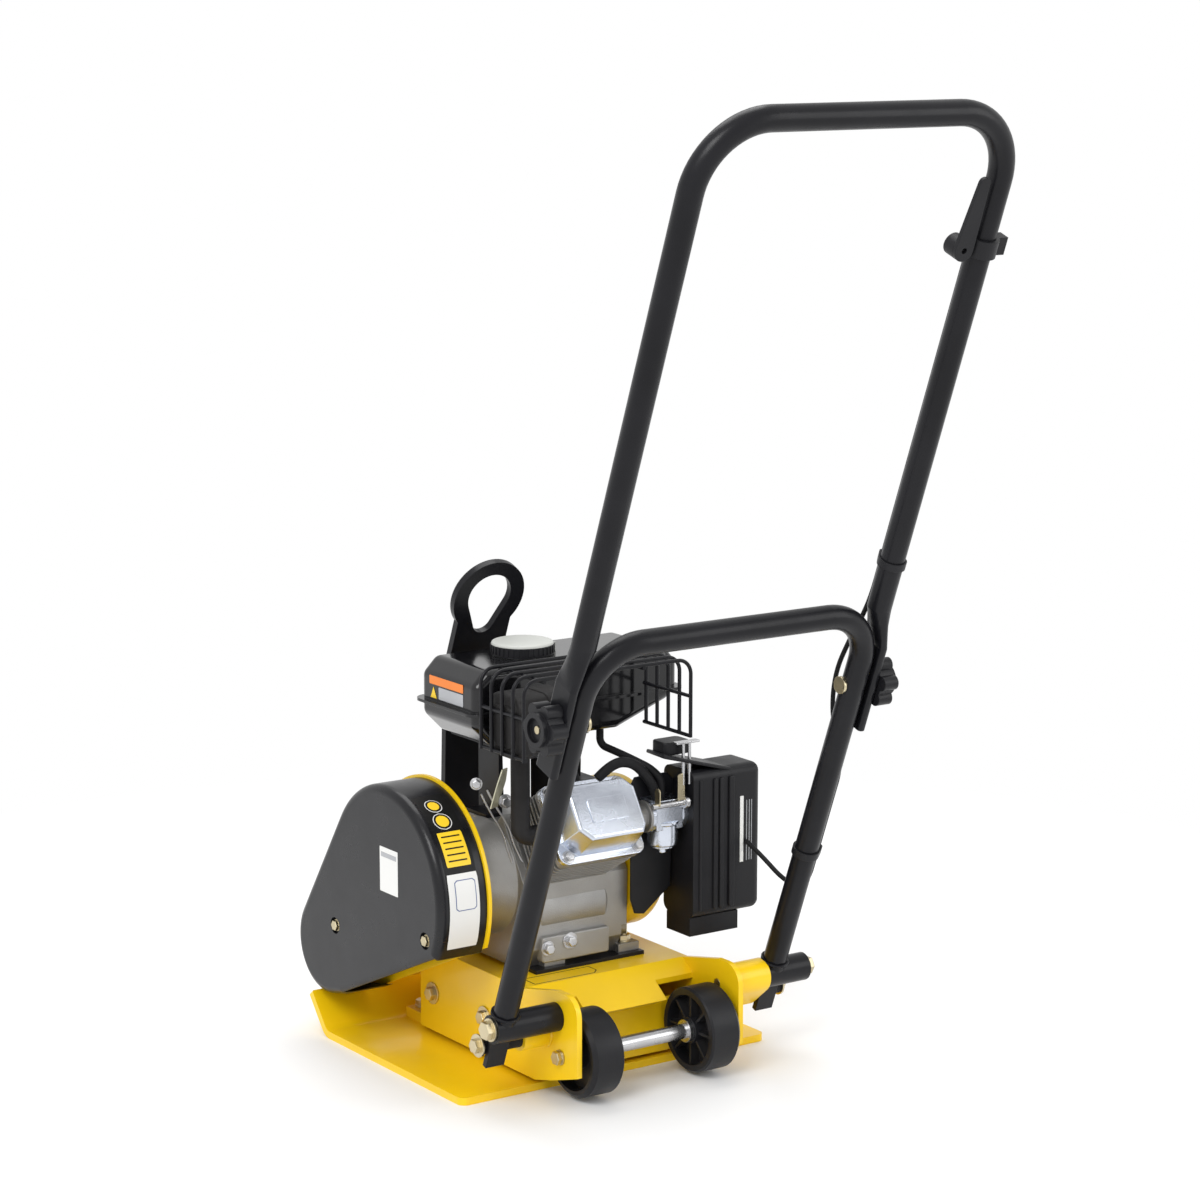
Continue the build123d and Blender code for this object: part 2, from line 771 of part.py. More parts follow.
with BuildPart() as ball_bearings:
    for end in (-1, 1):
        near = ex_half - 4 if end > 0 else ex_half
        rod(end * near, end * (near - ex_bearing_w), ex_y, ex_z, ex_bore - run_gap)
        rod(end * near, end * (near - ex_bearing_w), ex_y, ex_z, ex_shaft_r + run_gap, Mode.SUBTRACT)
    for x0 in (case_left - main_bearing_w, inner_wall):
        rod(x0, x0 + main_bearing_w, crank_y, crank_z, main_bearing_r - run_gap)
        rod(x0, x0 + main_bearing_w, crank_y, crank_z, crank_journal_r + run_gap, Mode.SUBTRACT)
save(ball_bearings.part, "ball_bearings")

web_t = 10.0
pin_r = 12.0
pin_half = 11.0
shaft_right = 106.0
with BuildPart() as crankshaft:
    rod(crank_tip, side_cover_end + 4, crank_y, crank_z, crank_end_r)
    rod(side_cover_end + 4, cyl_x - pin_half, crank_y, crank_z, crank_journal_r)
    rod(cyl_x + pin_half, case_right + 4, crank_y, crank_z, crank_journal_r)
    rod(case_right + 4, shaft_right, crank_y, crank_z, crank_end_r)
    pin_y = crank_y + throw * cyl_reach[0]
    pin_z = crank_z + throw * cyl_reach[1]
    rod(cyl_x - pin_half - 1, cyl_x + pin_half + 1, pin_y, pin_z, pin_r)
    for x0 in (cyl_x - pin_half - web_t, cyl_x + pin_half):
        with BuildSketch(across(x0)):
            with Locations((pin_y, pin_z)):
                Circle(pin_r + 3)
            with Locations((crank_y - 8 * cyl_reach[0], crank_z - 8 * cyl_reach[1])):
                Circle(34)
            make_hull()
        extrude(amount=web_t)
save(crankshaft.part, "crankshaft")

fin_gap = 6.5
fin_t = 2.2
with BuildPart() as cylinder:
    with BuildSketch(along_cylinder(cyl_start)):
        RectangleRounded(70, 70, 8)
    extrude(amount=cyl_end - cyl_start)
    for fin in range(5):
        with BuildSketch(along_cylinder(cyl_start + 4 + fin * fin_gap)):
            RectangleRounded(94, 2 * cyl_half + 4, 6)
        extrude(amount=fin_t)
    with BuildSketch(along_cylinder(cyl_start)):
        Circle(bore_r)
    extrude(amount=cyl_end - cyl_start, mode=Mode.SUBTRACT)
save(cylinder.part, "cylinder")

with BuildPart() as piston:
    with BuildSketch(along_cylinder(cyl_start + 4)):
        Circle(bore_r - run_gap)
    extrude(amount=cyl_end - cyl_start - 6)
    with BuildSketch(along_cylinder(cyl_start + 4)):
        Circle(bore_r - 4)
    extrude(amount=cyl_end - cyl_start - 12, mode=Mode.SUBTRACT)
save(piston.part, "piston")

plug_x = 6.0
with BuildPart() as cylinder_head:
    with BuildSketch(along_cylinder(cyl_end)):
        RectangleRounded(74, 74, 8)
    extrude(amount=head_end - cyl_end)
    for fin in range(4):
        with BuildSketch(along_cylinder(cyl_end + 3 + fin * fin_gap)):
            RectangleRounded(98, 2 * cyl_half + 4, 6)
        extrude(amount=fin_t)
    with BuildSketch(along_cylinder(head_end - 5)):
        RectangleRounded(head_w, head_h, head_corner)
    extrude(amount=5)
    rod(cyl_x + 37, port_end, carb_y, carb_z, intake_r + 3)
    rod(port_end - 3, port_end, carb_y, carb_z, carb_flange_r)
    rod(cyl_x + 40, port_end, carb_y, carb_z, intake_r, Mode.SUBTRACT)
    head_mid = along_cylinder((cyl_end + head_end) / 2)
    plug_plane = Plane(
        origin=head_mid.origin + plug_x * head_mid.x_dir + (cyl_half - 14) * head_mid.y_dir,
        x_dir=(1, 0, 0),
        z_dir=head_mid.y_dir,
    )
    with BuildSketch(plug_plane):
        Circle(9)
    extrude(amount=30, mode=Mode.SUBTRACT)
save(cylinder_head.part, "cylinder_head")

with BuildPart() as spark_plug:
    with BuildSketch(plug_plane):
        Circle(6)
    extrude(amount=14)
    with BuildSketch(plug_plane.offset(12)):
        RegularPolygon(7.5, 6, major_radius=False)
    extrude(amount=7)
    with BuildSketch(plug_plane.offset(19)):
        Circle(4.5)
    extrude(amount=14)
save(spark_plug.part, "spark_plug")

boot_plane = plug_plane.offset(19)
boot_len = 22.0
lead_points = [
    tuple(boot_plane.origin + (boot_len - 1) * boot_plane.z_dir),
    tuple(boot_plane.origin + (boot_len + 14) * boot_plane.z_dir),
    (8.0, -34.0, 330.0),
    (38.0, -10.0, 314.0),
    (40.0, -6.0, 286.8),
]
lead_radii = smooth_radii(lead_points)
print("spark plug lead radii", [round(r, 1) for r in lead_radii])
lead = tube_along(lead_points, lead_radii, 3)
with BuildPart() as spark_plug_lead:
    add(lead)
    with BuildSketch(boot_plane):
        Circle(8)
    extrude(amount=boot_len)
    with BuildSketch(boot_plane):
        Circle(4.5 + seat_gap)
    extrude(amount=14 + seat_gap, mode=Mode.SUBTRACT)
save(spark_plug_lead.part, "spark_plug_lead")

with BuildPart() as ignition_coil:
    block(30, 53.5, -24, 14, case_roof, 286)
    fillet(ignition_coil.edges().filter_by(Axis.Z), 5)
save(ignition_coil.part, "ignition_coil")

with BuildPart() as valve_cover:
    with BuildSketch(along_cylinder(head_end)):
        RectangleRounded(head_w, head_h, head_corner)
    extrude(amount=6)
    with BuildSketch(along_cylinder(head_end + flange_t)):
        Polygon(*rocker_box, align=None)
    extrude(amount=valve_end - head_end - flange_t, taper=10)
    fillet(valve_cover.faces().sort_by_distance(along_cylinder(valve_end).origin)[0].edges(), 4)
    with BuildSketch(along_cylinder(head_end)):
        with Locations((-1, 0)):
            Rectangle(74, 56)
    extrude(amount=valve_end - head_end - 5, taper=8, mode=Mode.SUBTRACT)
save(valve_cover.part, "valve_cover")

# ---------------------------------------------------------------- flywheel side
flywheel_r = 70.0
flywheel_left = 60.0
flywheel_right = 84.0
with BuildPart() as flywheel:
    rod(flywheel_left, flywheel_right, crank_y, crank_z, flywheel_r)
    rod(flywheel_left, flywheel_right - 6, crank_y, crank_z, flywheel_r - 12, Mode.SUBTRACT)
    rod(flywheel_left, flywheel_right + 6, crank_y, crank_z, 20)
    with BuildSketch(across(flywheel_right)):
        with Locations((crank_y, crank_z)):
            with PolarLocations((flywheel_r + 30) / 2, 16):
                Rectangle(flywheel_r - 34, 3)
    extrude(amount=9)
    rod(flywheel_left, flywheel_right + 6, crank_y, crank_z, crank_end_r + run_gap, Mode.SUBTRACT)
save(flywheel.part, "flywheel")

with BuildPart() as fan_shroud:
    rod(shroud_left, shroud_right, crank_y, crank_z, shroud_r)
    fillet(fan_shroud.faces().sort_by(Axis.X)[-1].edges(), 8)
    rod(shroud_left, shroud_right - shroud_wall, crank_y, crank_z, shroud_r - shroud_wall, Mode.SUBTRACT)
    rod(shroud_left, shroud_right, crank_y, crank_z, 48, Mode.SUBTRACT)
    rod(shroud_left, shroud_left + 3, crank_y, crank_z, shroud_r - shroud_wall)
    rod(shroud_left, shroud_left + 3, crank_y, crank_z, 30, Mode.SUBTRACT)
save(fan_shroud.part, "fan_shroud")

with BuildPart() as recoil_cover:
    rod(shroud_right, recoil_right, crank_y, crank_z, recoil_r)
    fillet(recoil_cover.faces().sort_by(Axis.X)[-1].edges(), 10)
    rod(shroud_right, recoil_right - 3, crank_y, crank_z, recoil_r - 3, Mode.SUBTRACT)
    with BuildSketch(across(recoil_right - 4)):
        with Locations((crank_y, crank_z)):
            with PolarLocations(34, 12):
                SlotOverall(26, 5)
    extrude(amount=6, mode=Mode.SUBTRACT)
    handle_y = crank_y + 30
    handle_z = crank_z + 38
    rod(recoil_right - 6, recoil_right + 8, handle_y, handle_z, 11)
    rod(recoil_right - 6, recoil_right + 8, handle_y, handle_z, 3, Mode.SUBTRACT)
save(recoil_cover.part, "recoil_cover")

with BuildPart() as recoil_handle:
    rod(recoil_right + 8 + face_gap, recoil_right + 20, handle_y, handle_z, 9)
    with BuildSketch(across(recoil_right + 20)):
        with Locations((handle_y, handle_z)):
            SlotOverall(62, 20, rotation=90)
    extrude(amount=16)
    fillet(recoil_handle.faces().sort_by(Axis.X)[-1].edges(), 5)
save(recoil_handle.part, "recoil_handle")

# ---------------------------------------------------------------- belt guard
cover_front = (ex_y + 5, ex_z + 6)
cover_rear = (15.0, 190.0)
cover_low = ((128.0, 45.0), (-67.0, 131.0))


def cover_outline(grow):
    """Side view of the belt cover, moved outwards by grow."""
    with Locations(cover_front):
        Circle(cover_front_r + grow)
    with Locations(cover_rear):
        Circle(cover_rear_r + grow)
    make_hull()
    run = (cover_low[1][0] - cover_low[0][0], cover_low[1][1] - cover_low[0][1])
    length = hypot(*run)
    along = (run[0] / length, run[1] / length)
    start = (cover_low[0][0] + grow * along[1], cover_low[0][1] - grow * along[0])
    end = (start[0] + 320 * along[0], start[1] + 320 * along[1])
    Polygon(start, end, (end[0], start[1] - 60), (start[0], start[1] - 60), align=None, mode=Mode.SUBTRACT)


cover_bolts = ((117.0, 129.0), (-67.0, 156.0))
pocket_r = 9.0
with BuildPart() as belt_cover:
    with BuildSketch(across(cover_inner)) as shape:
        cover_outline(0)
        fillet(shape.vertices().sort_by(Axis.Y)[0], cover_bottom_r - 8)
    extrude(amount=cover_outer - cover_inner)
    fillet(belt_cover.faces().sort_by(Axis.X)[0].edges(), 9)
    with BuildSketch(across(cover_inner)) as hollow:
        cover_outline(-cover_wall)
        fillet(hollow.vertices().sort_by(Axis.Y)[0], cover_bottom_r - 8 - cover_wall)
    extrude(amount=cover_outer + cover_wall - cover_inner, mode=Mode.SUBTRACT)
    for bolt_y, bolt_z in cover_bolts:
        rod(cover_outer + 0.5, cover_outer + 7, bolt_y, bolt_z, pocket_r + 3)
        rod(cover_outer + 7, cover_inner, bolt_y, bolt_z, 7)
        rod(cover_outer, cover_outer + 4, bolt_y, bolt_z, pocket_r, Mode.SUBTRACT)
        rod(cover_outer, cover_inner, bolt_y, bolt_z, m6_r + hole_gap, Mode.SUBTRACT)
save(belt_cover.part, "belt_cover")

with BuildPart() as belt_back_plate:
    with BuildSketch(across(cover_inner)) as shape:
        cover_outline(back_plate_lip)
        fillet(shape.vertices().sort_by(Axis.Y)[0], cover_bottom_r - 8 + back_plate_lip)
    extrude(amount=back_plate_t)
    rod(cover_inner, cover_inner + back_plate_t, crank_y, crank_z, clutch_hub_r + 4, Mode.SUBTRACT)
    rod(cover_inner, cover_inner + back_plate_t, ex_y, ex_z, ex_shaft_r + 8, Mode.SUBTRACT)
    for bolt_y, bolt_z in cover_bolts:
        rod(cover_inner, cover_inner + back_plate_t, bolt_y, bolt_z, m6_r + hole_gap, Mode.SUBTRACT)
save(belt_back_plate.part, "belt_back_plate")

with BuildPart() as guard_spacer:
    spacer_left = cover_inner + back_plate_t
    rod(spacer_left, spacer_left + spacer_t, crank_y, crank_z, side_cover_end_r + 12)
    rod(spacer_left, spacer_left + spacer_t, crank_y, crank_z, clutch_hub_r + 4, Mode.SUBTRACT)
save(guard_spacer.part, "guard_spacer")

hub_left = belt_x + sheave_w / 2 + 3 + 1.5
hub_right = drum_mouth + 1
with BuildPart() as clutch_hub:
    rod(hub_left, hub_right, crank_y, crank_z, clutch_hub_r)
    rod(hub_right, side_cover_end - 1, crank_y, crank_z, crank_journal_r + 3)
    rod(hub_left, side_cover_end - 1, crank_y, crank_z, crank_end_r + run_gap, Mode.SUBTRACT)
save(clutch_hub.part, "clutch_hub")

shoe_r = drum_r - drum_wall - shoe_travel
with BuildPart() as clutch_shoes:
    with BuildSketch(across(hub_left + 1)):
        with Locations((crank_y, crank_z)):
            Circle(shoe_r)
            Circle(clutch_hub_r + run_gap, mode=Mode.SUBTRACT)
            Rectangle(2 * drum_r, 9, mode=Mode.SUBTRACT)
    extrude(amount=hub_right - hub_left - 2)
save(clutch_shoes.part, "clutch_shoes")

# ---------------------------------------------------------------- carburettor and air filter
with BuildPart() as carburettor:
    block(carb_left, carb_right, carb_y - 16, carb_y + 12, carb_z - 14, carb_z + 18)
    rod(port_end, carb_left, carb_y, carb_z, carb_flange_r)
    rod(carb_right, filter_left, carb_y, carb_z, carb_flange_r)
    rod(port_end, filter_left, carb_y, carb_z, intake_r, Mode.SUBTRACT)
    with BuildSketch(Plane.XY.offset(carb_z - 11)):
        with Locations((bowl_x, carb_y - 2)):
            Circle(bowl_r)
    extrude(amount=-bowl_h)
    with BuildSketch(Plane.XY.offset(carb_z - 34)):
        with Locations((bowl_x, carb_y - 2)):
            Circle(5)
    extrude(amount=-7)
save(carburettor.part, "carburettor")

with BuildPart() as air_filter_case:
    block(filter_left, filter_split, filter_rear, filter_front, filter_low, filter_high)
    fillet(air_filter_case.edges().filter_by(Axis.X), 10)
    block(
        filter_left + filter_wall,
        filter_split,
        filter_rear + filter_wall,
        filter_front - filter_wall,
        filter_low + filter_wall,
        filter_high - filter_wall,
        Mode.SUBTRACT,
    )
    rod(filter_left, filter_left + filter_wall, carb_y, carb_z, 9, Mode.SUBTRACT)
    block(filter_left, filter_split + 14, filter_rear + 6, filter_front - 6, filter_low - 20, filter_low)
save(air_filter_case.part, "air_filter_case")

with BuildPart() as air_filter_cover:
    block(filter_split, filter_right, filter_rear, filter_front, filter_low, filter_high)
    fillet(air_filter_cover.edges().filter_by(Axis.X), 10)
    fillet(air_filter_cover.faces().sort_by(Axis.X)[-1].edges(), 9)
    block(
        filter_split,
        filter_right - filter_wall,
        filter_rear + filter_wall,
        filter_front - filter_wall,
        filter_low + filter_wall,
        filter_high - filter_wall,
        Mode.SUBTRACT,
    )
save(air_filter_cover.part, "air_filter_cover")

with BuildPart() as air_filter_element:
    block(
        filter_left + 18,
        filter_right - filter_wall - face_gap,
        filter_rear + filter_wall + face_gap,
        filter_front - filter_wall - face_gap,
        filter_low + 20,
        carb_z - 20,
    )
save(air_filter_element.part, "air_filter_element")

# ---------------------------------------------------------------- fuel tank
with BuildPart() as fuel_tank:
    with BuildSketch(Plane.XZ.offset(-tank_front)) as profile:
        Polygon(
            (tank_left, tank_low + 22),
            (tank_left + 22, tank_low),
            (tank_right - 76, tank_low),
            (tank_right - 12, tank_low + 24),
            (tank_right, tank_seam),
            (tank_right, tank_high - 16),
            (tank_right - 14, tank_high),
            (tank_left + 16, tank_high),
            (tank_left, tank_high - 16),
            align=None,
        )
        fillet(profile.vertices(), 11)
    extrude(amount=tank_front - tank_rear)
    fillet(fuel_tank.faces().sort_by(Axis.Y)[0].edges(), 10)
    fillet(fuel_tank.faces().sort_by(Axis.Y)[-1].edges(), 10)
    shell = offset(amount=-tank_wall, openings=[], mode=Mode.PRIVATE)
    with BuildSketch(Plane.XY.offset(tank_seam - seam_t / 2)):
        with Locations(((tank_left + tank_right) / 2, (tank_rear + tank_front) / 2)):
            RectangleRounded(tank_right - tank_left + 2 * seam_out, tank_front - tank_rear + 2 * seam_out, 16)
    extrude(amount=seam_t)
    with BuildSketch(Plane.XY.offset(tank_high - 4)):
        with Locations((cap_x, cap_y)):
            Circle(neck_r)
    extrude(amount=10)
    add(shell, mode=Mode.SUBTRACT)
    with BuildSketch(Plane.XY.offset(tank_high + 6)):
        with Locations((cap_x, cap_y)):
            Circle(neck_r - 3)
    extrude(amount=-20, mode=Mode.SUBTRACT)
save(fuel_tank.part, "fuel_tank")

with BuildPart() as fuel_cap:
    with BuildSketch(Plane.XY.offset(tank_high + face_gap)):
        with Locations((cap_x, cap_y)):
            Circle(cap_r)
    extrude(amount=14)
    fillet(fuel_cap.faces().sort_by(Axis.Z)[-1].edges(), 3)
    with BuildSketch(Plane.XY.offset(tank_high + face_gap)):
        with Locations((cap_x, cap_y)):
            Circle(neck_r + face_gap)
    extrude(amount=6, mode=Mode.SUBTRACT)
    with BuildSketch(Plane.XY.offset(tank_high + face_gap)):
        with Locations((cap_x + cap_r, cap_y)):
            Rectangle(10, 12)
        with Locations((cap_x, cap_y)):
            Circle(neck_r + 5, mode=Mode.SUBTRACT)
    extrude(amount=9)
save(fuel_cap.part, "fuel_cap")

with BuildPart() as tank_bracket:
    block(tank_left + 30, 30, tank_rear + 16, tank_front - 12, tank_low - 4, tank_low)
    for leg_x in (-60, 6):
        block(leg_x, leg_x + 4, -6, 34, case_roof, tank_low - 4)
        block(leg_x - 16, leg_x + 4, -6, 34, case_roof, case_roof + 4)
save(tank_bracket.part, "tank_bracket")

hose_points = [
    (44.0, tank_rear + 15, tank_low - 0.5),
    (44.0, tank_rear + 15, tank_low - 18),
    (56.0, tank_rear - 16, tank_low - 26),
    (70.0, tank_rear - 40, tank_low - 36),
    (bowl_x, carb_y, carb_z + 38),
    (79.0, carb_y, carb_z + 18),
]
hose_radii = smooth_radii(hose_points)
print("fuel hose radii", [round(r, 1) for r in hose_radii])
save(tube_along(hose_points, hose_radii, 4), "fuel_hose")

# ---------------------------------------------------------------- muffler
with BuildPart() as muffler:
    block(muffler_left, muffler_right, muffler_rear, muffler_front, muffler_low, muffler_high)
    fillet(muffler.edges().filter_by(Axis.X), 16)
    fillet(muffler.faces().filter_by(Axis.X).edges(), 5)
    block(
        muffler_left + 8,
        muffler_right - 8,
        muffler_rear + 14,
        muffler_front - 14,
        muffler_low + 8,
        muffler_high - 8,
        Mode.SUBTRACT,
    )
save(muffler.part, "muffler")

pipe_x = muffler_left + 22
pipe_points = [
    (cyl_x - 49 - face_gap, head_mid.origin.Y, head_mid.origin.Z),
    (pipe_x, head_mid.origin.Y, head_mid.origin.Z),
    (pipe_x, head_mid.origin.Y, muffler_low),
]
save(tube_along(pipe_points, smooth_radii(pipe_points), 10), "exhaust_pipe")

guard_pitch = (guard_front - guard_rear) / (guard_hoops - 1)
hoops = []
for index in range(guard_hoops):
    wire_y = guard_rear + index * guard_pitch
    hoop = [
        (guard_left, wire_y, guard_low),
        (guard_left, wire_y, guard_top),
        (guard_right, wire_y, guard_top),
        (guard_right, wire_y, guard_low),
    ]
    hoops.append(tube_along(hoop, [guard_bend, guard_bend], guard_wire))
with BuildPart() as muffler_guard:
    add(hoops)
    for wire_x in (guard_left + 24, guard_right - 60):
        with BuildSketch(Plane.XZ.offset(-guard_rear + guard_wire)):
            with Locations((wire_x, guard_top - 1.4 * guard_wire)):
                Circle(guard_wire)
        extrude(amount=-(guard_front - guard_rear + 2 * guard_wire))
    for wire_x in (guard_left + 0.7 * guard_wire, guard_right - 0.7 * guard_wire):
        for wire_z in (guard_low + 2, guard_low + 44):
            with BuildSketch(Plane.XZ.offset(-guard_rear + guard_wire)):
                with Locations((wire_x, wire_z)):
                    Circle(guard_wire)
            extrude(amount=-(guard_front - guard_rear + 2 * guard_wire))
save(muffler_guard.part, "muffler_guard")


# ================================================================ handle
def leg_frame(foot, top):
    """Unit direction in (Y, Z) of a handle leg, from its foot to its top corner."""
    length = hypot(top[0] - foot[0], top[1] - foot[1])
    return ((top[0] - foot[0]) / length, (top[1] - foot[1]) / length)


def on_leg(foot, run, distance, out=0.0):
    """(Y, Z) that far along a leg, and that far off it towards the front."""
    return (foot[0] + distance * run[0] + out * run[1], foot[1] + distance * run[1] - out * run[0])


lower_foot = (pivot_y, pivot_z)
lower_run = leg_frame(lower_foot, (hoop_y, hoop_z))
upper_foot = (knob_y, knob_z)
upper_run = leg_frame(upper_foot, (upper_y, upper_z))
upper_start = flat_above + flat_blend


def hoop_path(half, start, corner):
    """Route of a handle tube: up one side, across the top, down the other."""
    return [(-half, *start), (-half, *corner), (half, *corner), (half, *start)]


lower_path = hoop_path(hoop_half, lower_foot, (hoop_y, hoop_z))
lower_bends = [hoop_bend, hoop_bend]
lower_outer = tube_along(lower_path, lower_bends, tube_r)
lower_inner = tube_along(lower_path, lower_bends, tube_r - tube_wall)
upper_path = hoop_path(upper_half, on_leg(upper_foot, upper_run, upper_start), (upper_y, upper_z))
upper_bends = [upper_bend, upper_bend]
upper_outer = tube_along(upper_path, upper_bends, tube_r)
upper_inner = tube_along(upper_path, upper_bends, tube_r - tube_wall)

tail_front = stop_dy * lower_run[1] - stop_dz * lower_run[0] - stop_r - face_gap
tail_t = 6.0
tail_len = 46.0
left_sleeve = (-deck_outer - face_gap, left_sleeve_end)
right_sleeve = (boss_end + face_gap, right_sleeve_end)
with BuildPart() as lower_handle:
    add(lower_outer)
    add(lower_inner, mode=Mode.SUBTRACT)
    for sleeve in (left_sleeve, right_sleeve):
        rod(*sleeve, pivot_y, pivot_z, sleeve_r)
    for side in (-1, 1):
        tail_foot = on_leg(lower_foot, lower_run, 0, tail_front - tail_t / 2)
        tail_plane = Plane(
            origin=(side * (hoop_half + 0.5), *tail_foot),
            x_dir=(1, 0, 0),
            z_dir=(0, -lower_run[0], -lower_run[1]),
        )
        with BuildSketch(tail_plane):
            Rectangle(22, tail_t)
        extrude(amount=tail_len)
    for sleeve in (left_sleeve, right_sleeve):
        rod(*sleeve, pivot_y, pivot_z, m10_r + run_gap, Mode.SUBTRACT)
    rod(-2 * hoop_half, 2 * hoop_half, knob_y, knob_z, m8_r + seat_gap, Mode.SUBTRACT)
save(lower_handle.part, "lower_handle")

flat_inner = hoop_half + tube_r + face_gap + 0.5
flat_mid = flat_inner + flat_t / 2
with BuildPart() as upper_handle:
    add(upper_outer)
    add(upper_inner, mode=Mode.SUBTRACT)
    for side in (-1, 1):
        for start, end in ((-flat_below, flat_above), (flat_above, upper_start)):
            first = Plane(
                origin=(side * flat_mid, *on_leg(upper_foot, upper_run, start)),
                x_dir=(1, 0, 0),
                z_dir=(0, *upper_run),
            )
            with BuildSketch(first):
                RectangleRounded(flat_t, flat_w, 4)
            if end == flat_above:
                extrude(amount=end - start)
            else:
                last = Plane(
                    origin=(side * upper_half, *on_leg(upper_foot, upper_run, end)),
                    x_dir=(1, 0, 0),
                    z_dir=(0, *upper_run),
                )
                with BuildSketch(last):
                    Circle(tube_r)
                loft()
    rod(-2 * upper_half, 2 * upper_half, knob_y, knob_z, m8_r + hole_gap, Mode.SUBTRACT)
save(upper_handle.part, "upper_handle")

with BuildPart() as handle_stops:
    for start, end in ((left_boss_end, left_stop_end), (boss_end, right_stop_end)):
        rod(start, end, pivot_y + stop_dy, pivot_z + stop_dz, stop_r)
        rod(start, end, pivot_y + stop_dy, pivot_z + stop_dz, m8_r + seat_gap, Mode.SUBTRACT)
save(handle_stops.part, "handle_stops")

knob_left_face = flat_mid + flat_t / 2 + face_gap
with BuildPart() as handle_bolts:
    for side in (-1, 1):
        rod(side * (hoop_half - tube_r - 3), side * (hoop_half - tube_r), knob_y, knob_z, 9)
        rod(side * (hoop_half - tube_r), side * (knob_left_face + knob_t - 3), knob_y, knob_z, m8_r)
save(handle_bolts.part, "handle_bolts")


def make_star_knob(side):
    """Six-lobed plastic knob with a sunk centre, on the handle bolt."""
    with BuildPart() as knob:
        with BuildSketch(across(side * knob_left_face)):
            with Locations((knob_y, knob_z)):
                Circle(knob_r - 7)
                with PolarLocations(knob_r - 7.5, knob_lobes):
                    Circle(7.5)
        extrude(amount=side * (knob_t - 5))
        with BuildSketch(across(side * (knob_left_face + knob_t - 5))):
            with Locations((knob_y, knob_z)):
                Circle(knob_r - 10)
        extrude(amount=side * 5)
        knob_end = side * (knob_left_face + knob_t)
        rod(knob_end - side * knob_dish, knob_end, knob_y, knob_z, knob_dish_r, Mode.SUBTRACT)
        rod(side * knob_left_face, knob_end, knob_y, knob_z, m8_r + run_gap, Mode.SUBTRACT)
    return knob.part


save(make_star_knob(-1), "star_knob_left")
save(make_star_knob(1), "star_knob_right")

# ---------------------------------------------------------------- throttle
clamp_at = 476.0        # up the upper handle from the knob
clamp_len = 18.0
lever_off = 29.0        # lever's hub, inboard of the tube's middle
hub_r = 11.0
clamp_plane = Plane(
    origin=(upper_half, *on_leg(upper_foot, upper_run, clamp_at)), x_dir=(1, 0, 0), z_dir=(0, *upper_run)
)
clamp_front = clamp_plane.y_dir
with BuildPart() as throttle_clamp:
    with BuildSketch(clamp_plane):
        Circle(tube_r + 4)
        with Locations((-lever_off / 2, 0)):
            Rectangle(lever_off, 14)
        with Locations((tube_r + 8, 0)):
            Rectangle(12, 12)
        Circle(tube_r + run_gap, mode=Mode.SUBTRACT)
    extrude(amount=clamp_len)
    hub_plane = Plane(
        origin=clamp_plane.origin - lever_off * clamp_plane.x_dir + (clamp_len / 2) * clamp_plane.z_dir,
        x_dir=(1, 0, 0),
        z_dir=clamp_front,
    )
    with BuildSketch(hub_plane.offset(-7)):
        Circle(hub_r)
    extrude(amount=14)
    with BuildSketch(clamp_plane):
        Circle(tube_r + run_gap)
    extrude(amount=clamp_len, mode=Mode.SUBTRACT)
    with BuildSketch(hub_plane.offset(-7)):
        Circle(m6_r + seat_gap)
    extrude(amount=14, mode=Mode.SUBTRACT)
save(throttle_clamp.part, "throttle_clamp")

lever_plane = hub_plane.offset(-7 - face_gap)
lever_len = 68.0
with BuildPart() as throttle_lever:
    with BuildSketch(lever_plane):
        Circle(hub_r)
        with Locations((lever_len * 0.05, -lever_len)):
            Circle(6)
        make_hull()
    extrude(amount=-4)
    with BuildSketch(lever_plane):
        Circle(m6_r + run_gap)
    extrude(amount=-4, mode=Mode.SUBTRACT)
save(throttle_lever.part, "throttle_lever")

# ---------------------------------------------------------------- throttle cable
cable_off = tube_r + cable_r + face_gap
cable_x = hoop_half + cable_off
low_join = on_leg(lower_foot, lower_run, 133)
low_end = on_leg(lower_foot, lower_run, 238)
top_join = on_leg(upper_foot, upper_run, 112, cable_off)
top_end = on_leg(upper_foot, upper_run, clamp_at - 8, cable_off)


def cable(points):
    """One stretch of the throttle cable."""
    radii = smooth_radii(points)
    print("throttle cable radii", [round(r, 1) for r in radii])
    return tube_along(points, radii, cable_r)


engine_cable = [
    (172.0, filter_rear - 1.2, 222.0),
    (173.5, -150.0, 214.0),
    (cable_x, -185.0, 186.0),
    (cable_x, *on_leg(lower_foot, lower_run, 108)),
    (cable_x, *low_join),
]
fold_cable = [
    (cable_x, *low_end),
    (cable_x, *on_leg(lower_foot, lower_run, 264)),
    (cable_x, -258.0, 378.0),
    (cable_x, -262.0, 425.0),
    (upper_half + 3, -290.0, 466.0),
    (upper_half, *on_leg(upper_foot, upper_run, 84, cable_off)),
    (upper_half, *top_join),
]
save(cable(engine_cable), "throttle_cable_engine")
save(cable(fold_cable), "throttle_cable_fold")
for name, start, end, run in (
    ("throttle_cable_lower", (cable_x, *low_join), (cable_x, *low_end), lower_run),
    ("throttle_cable_upper", (upper_half, *top_join), (upper_half, *top_end), upper_run),
):
    with BuildPart() as straight:
        with BuildSketch(Plane(origin=start, x_dir=(1, 0, 0), z_dir=(0, *run))):
            Circle(cable_r)
        extrude(amount=hypot(end[1] - start[1], end[2] - start[2]))
    save(straight.part, name)

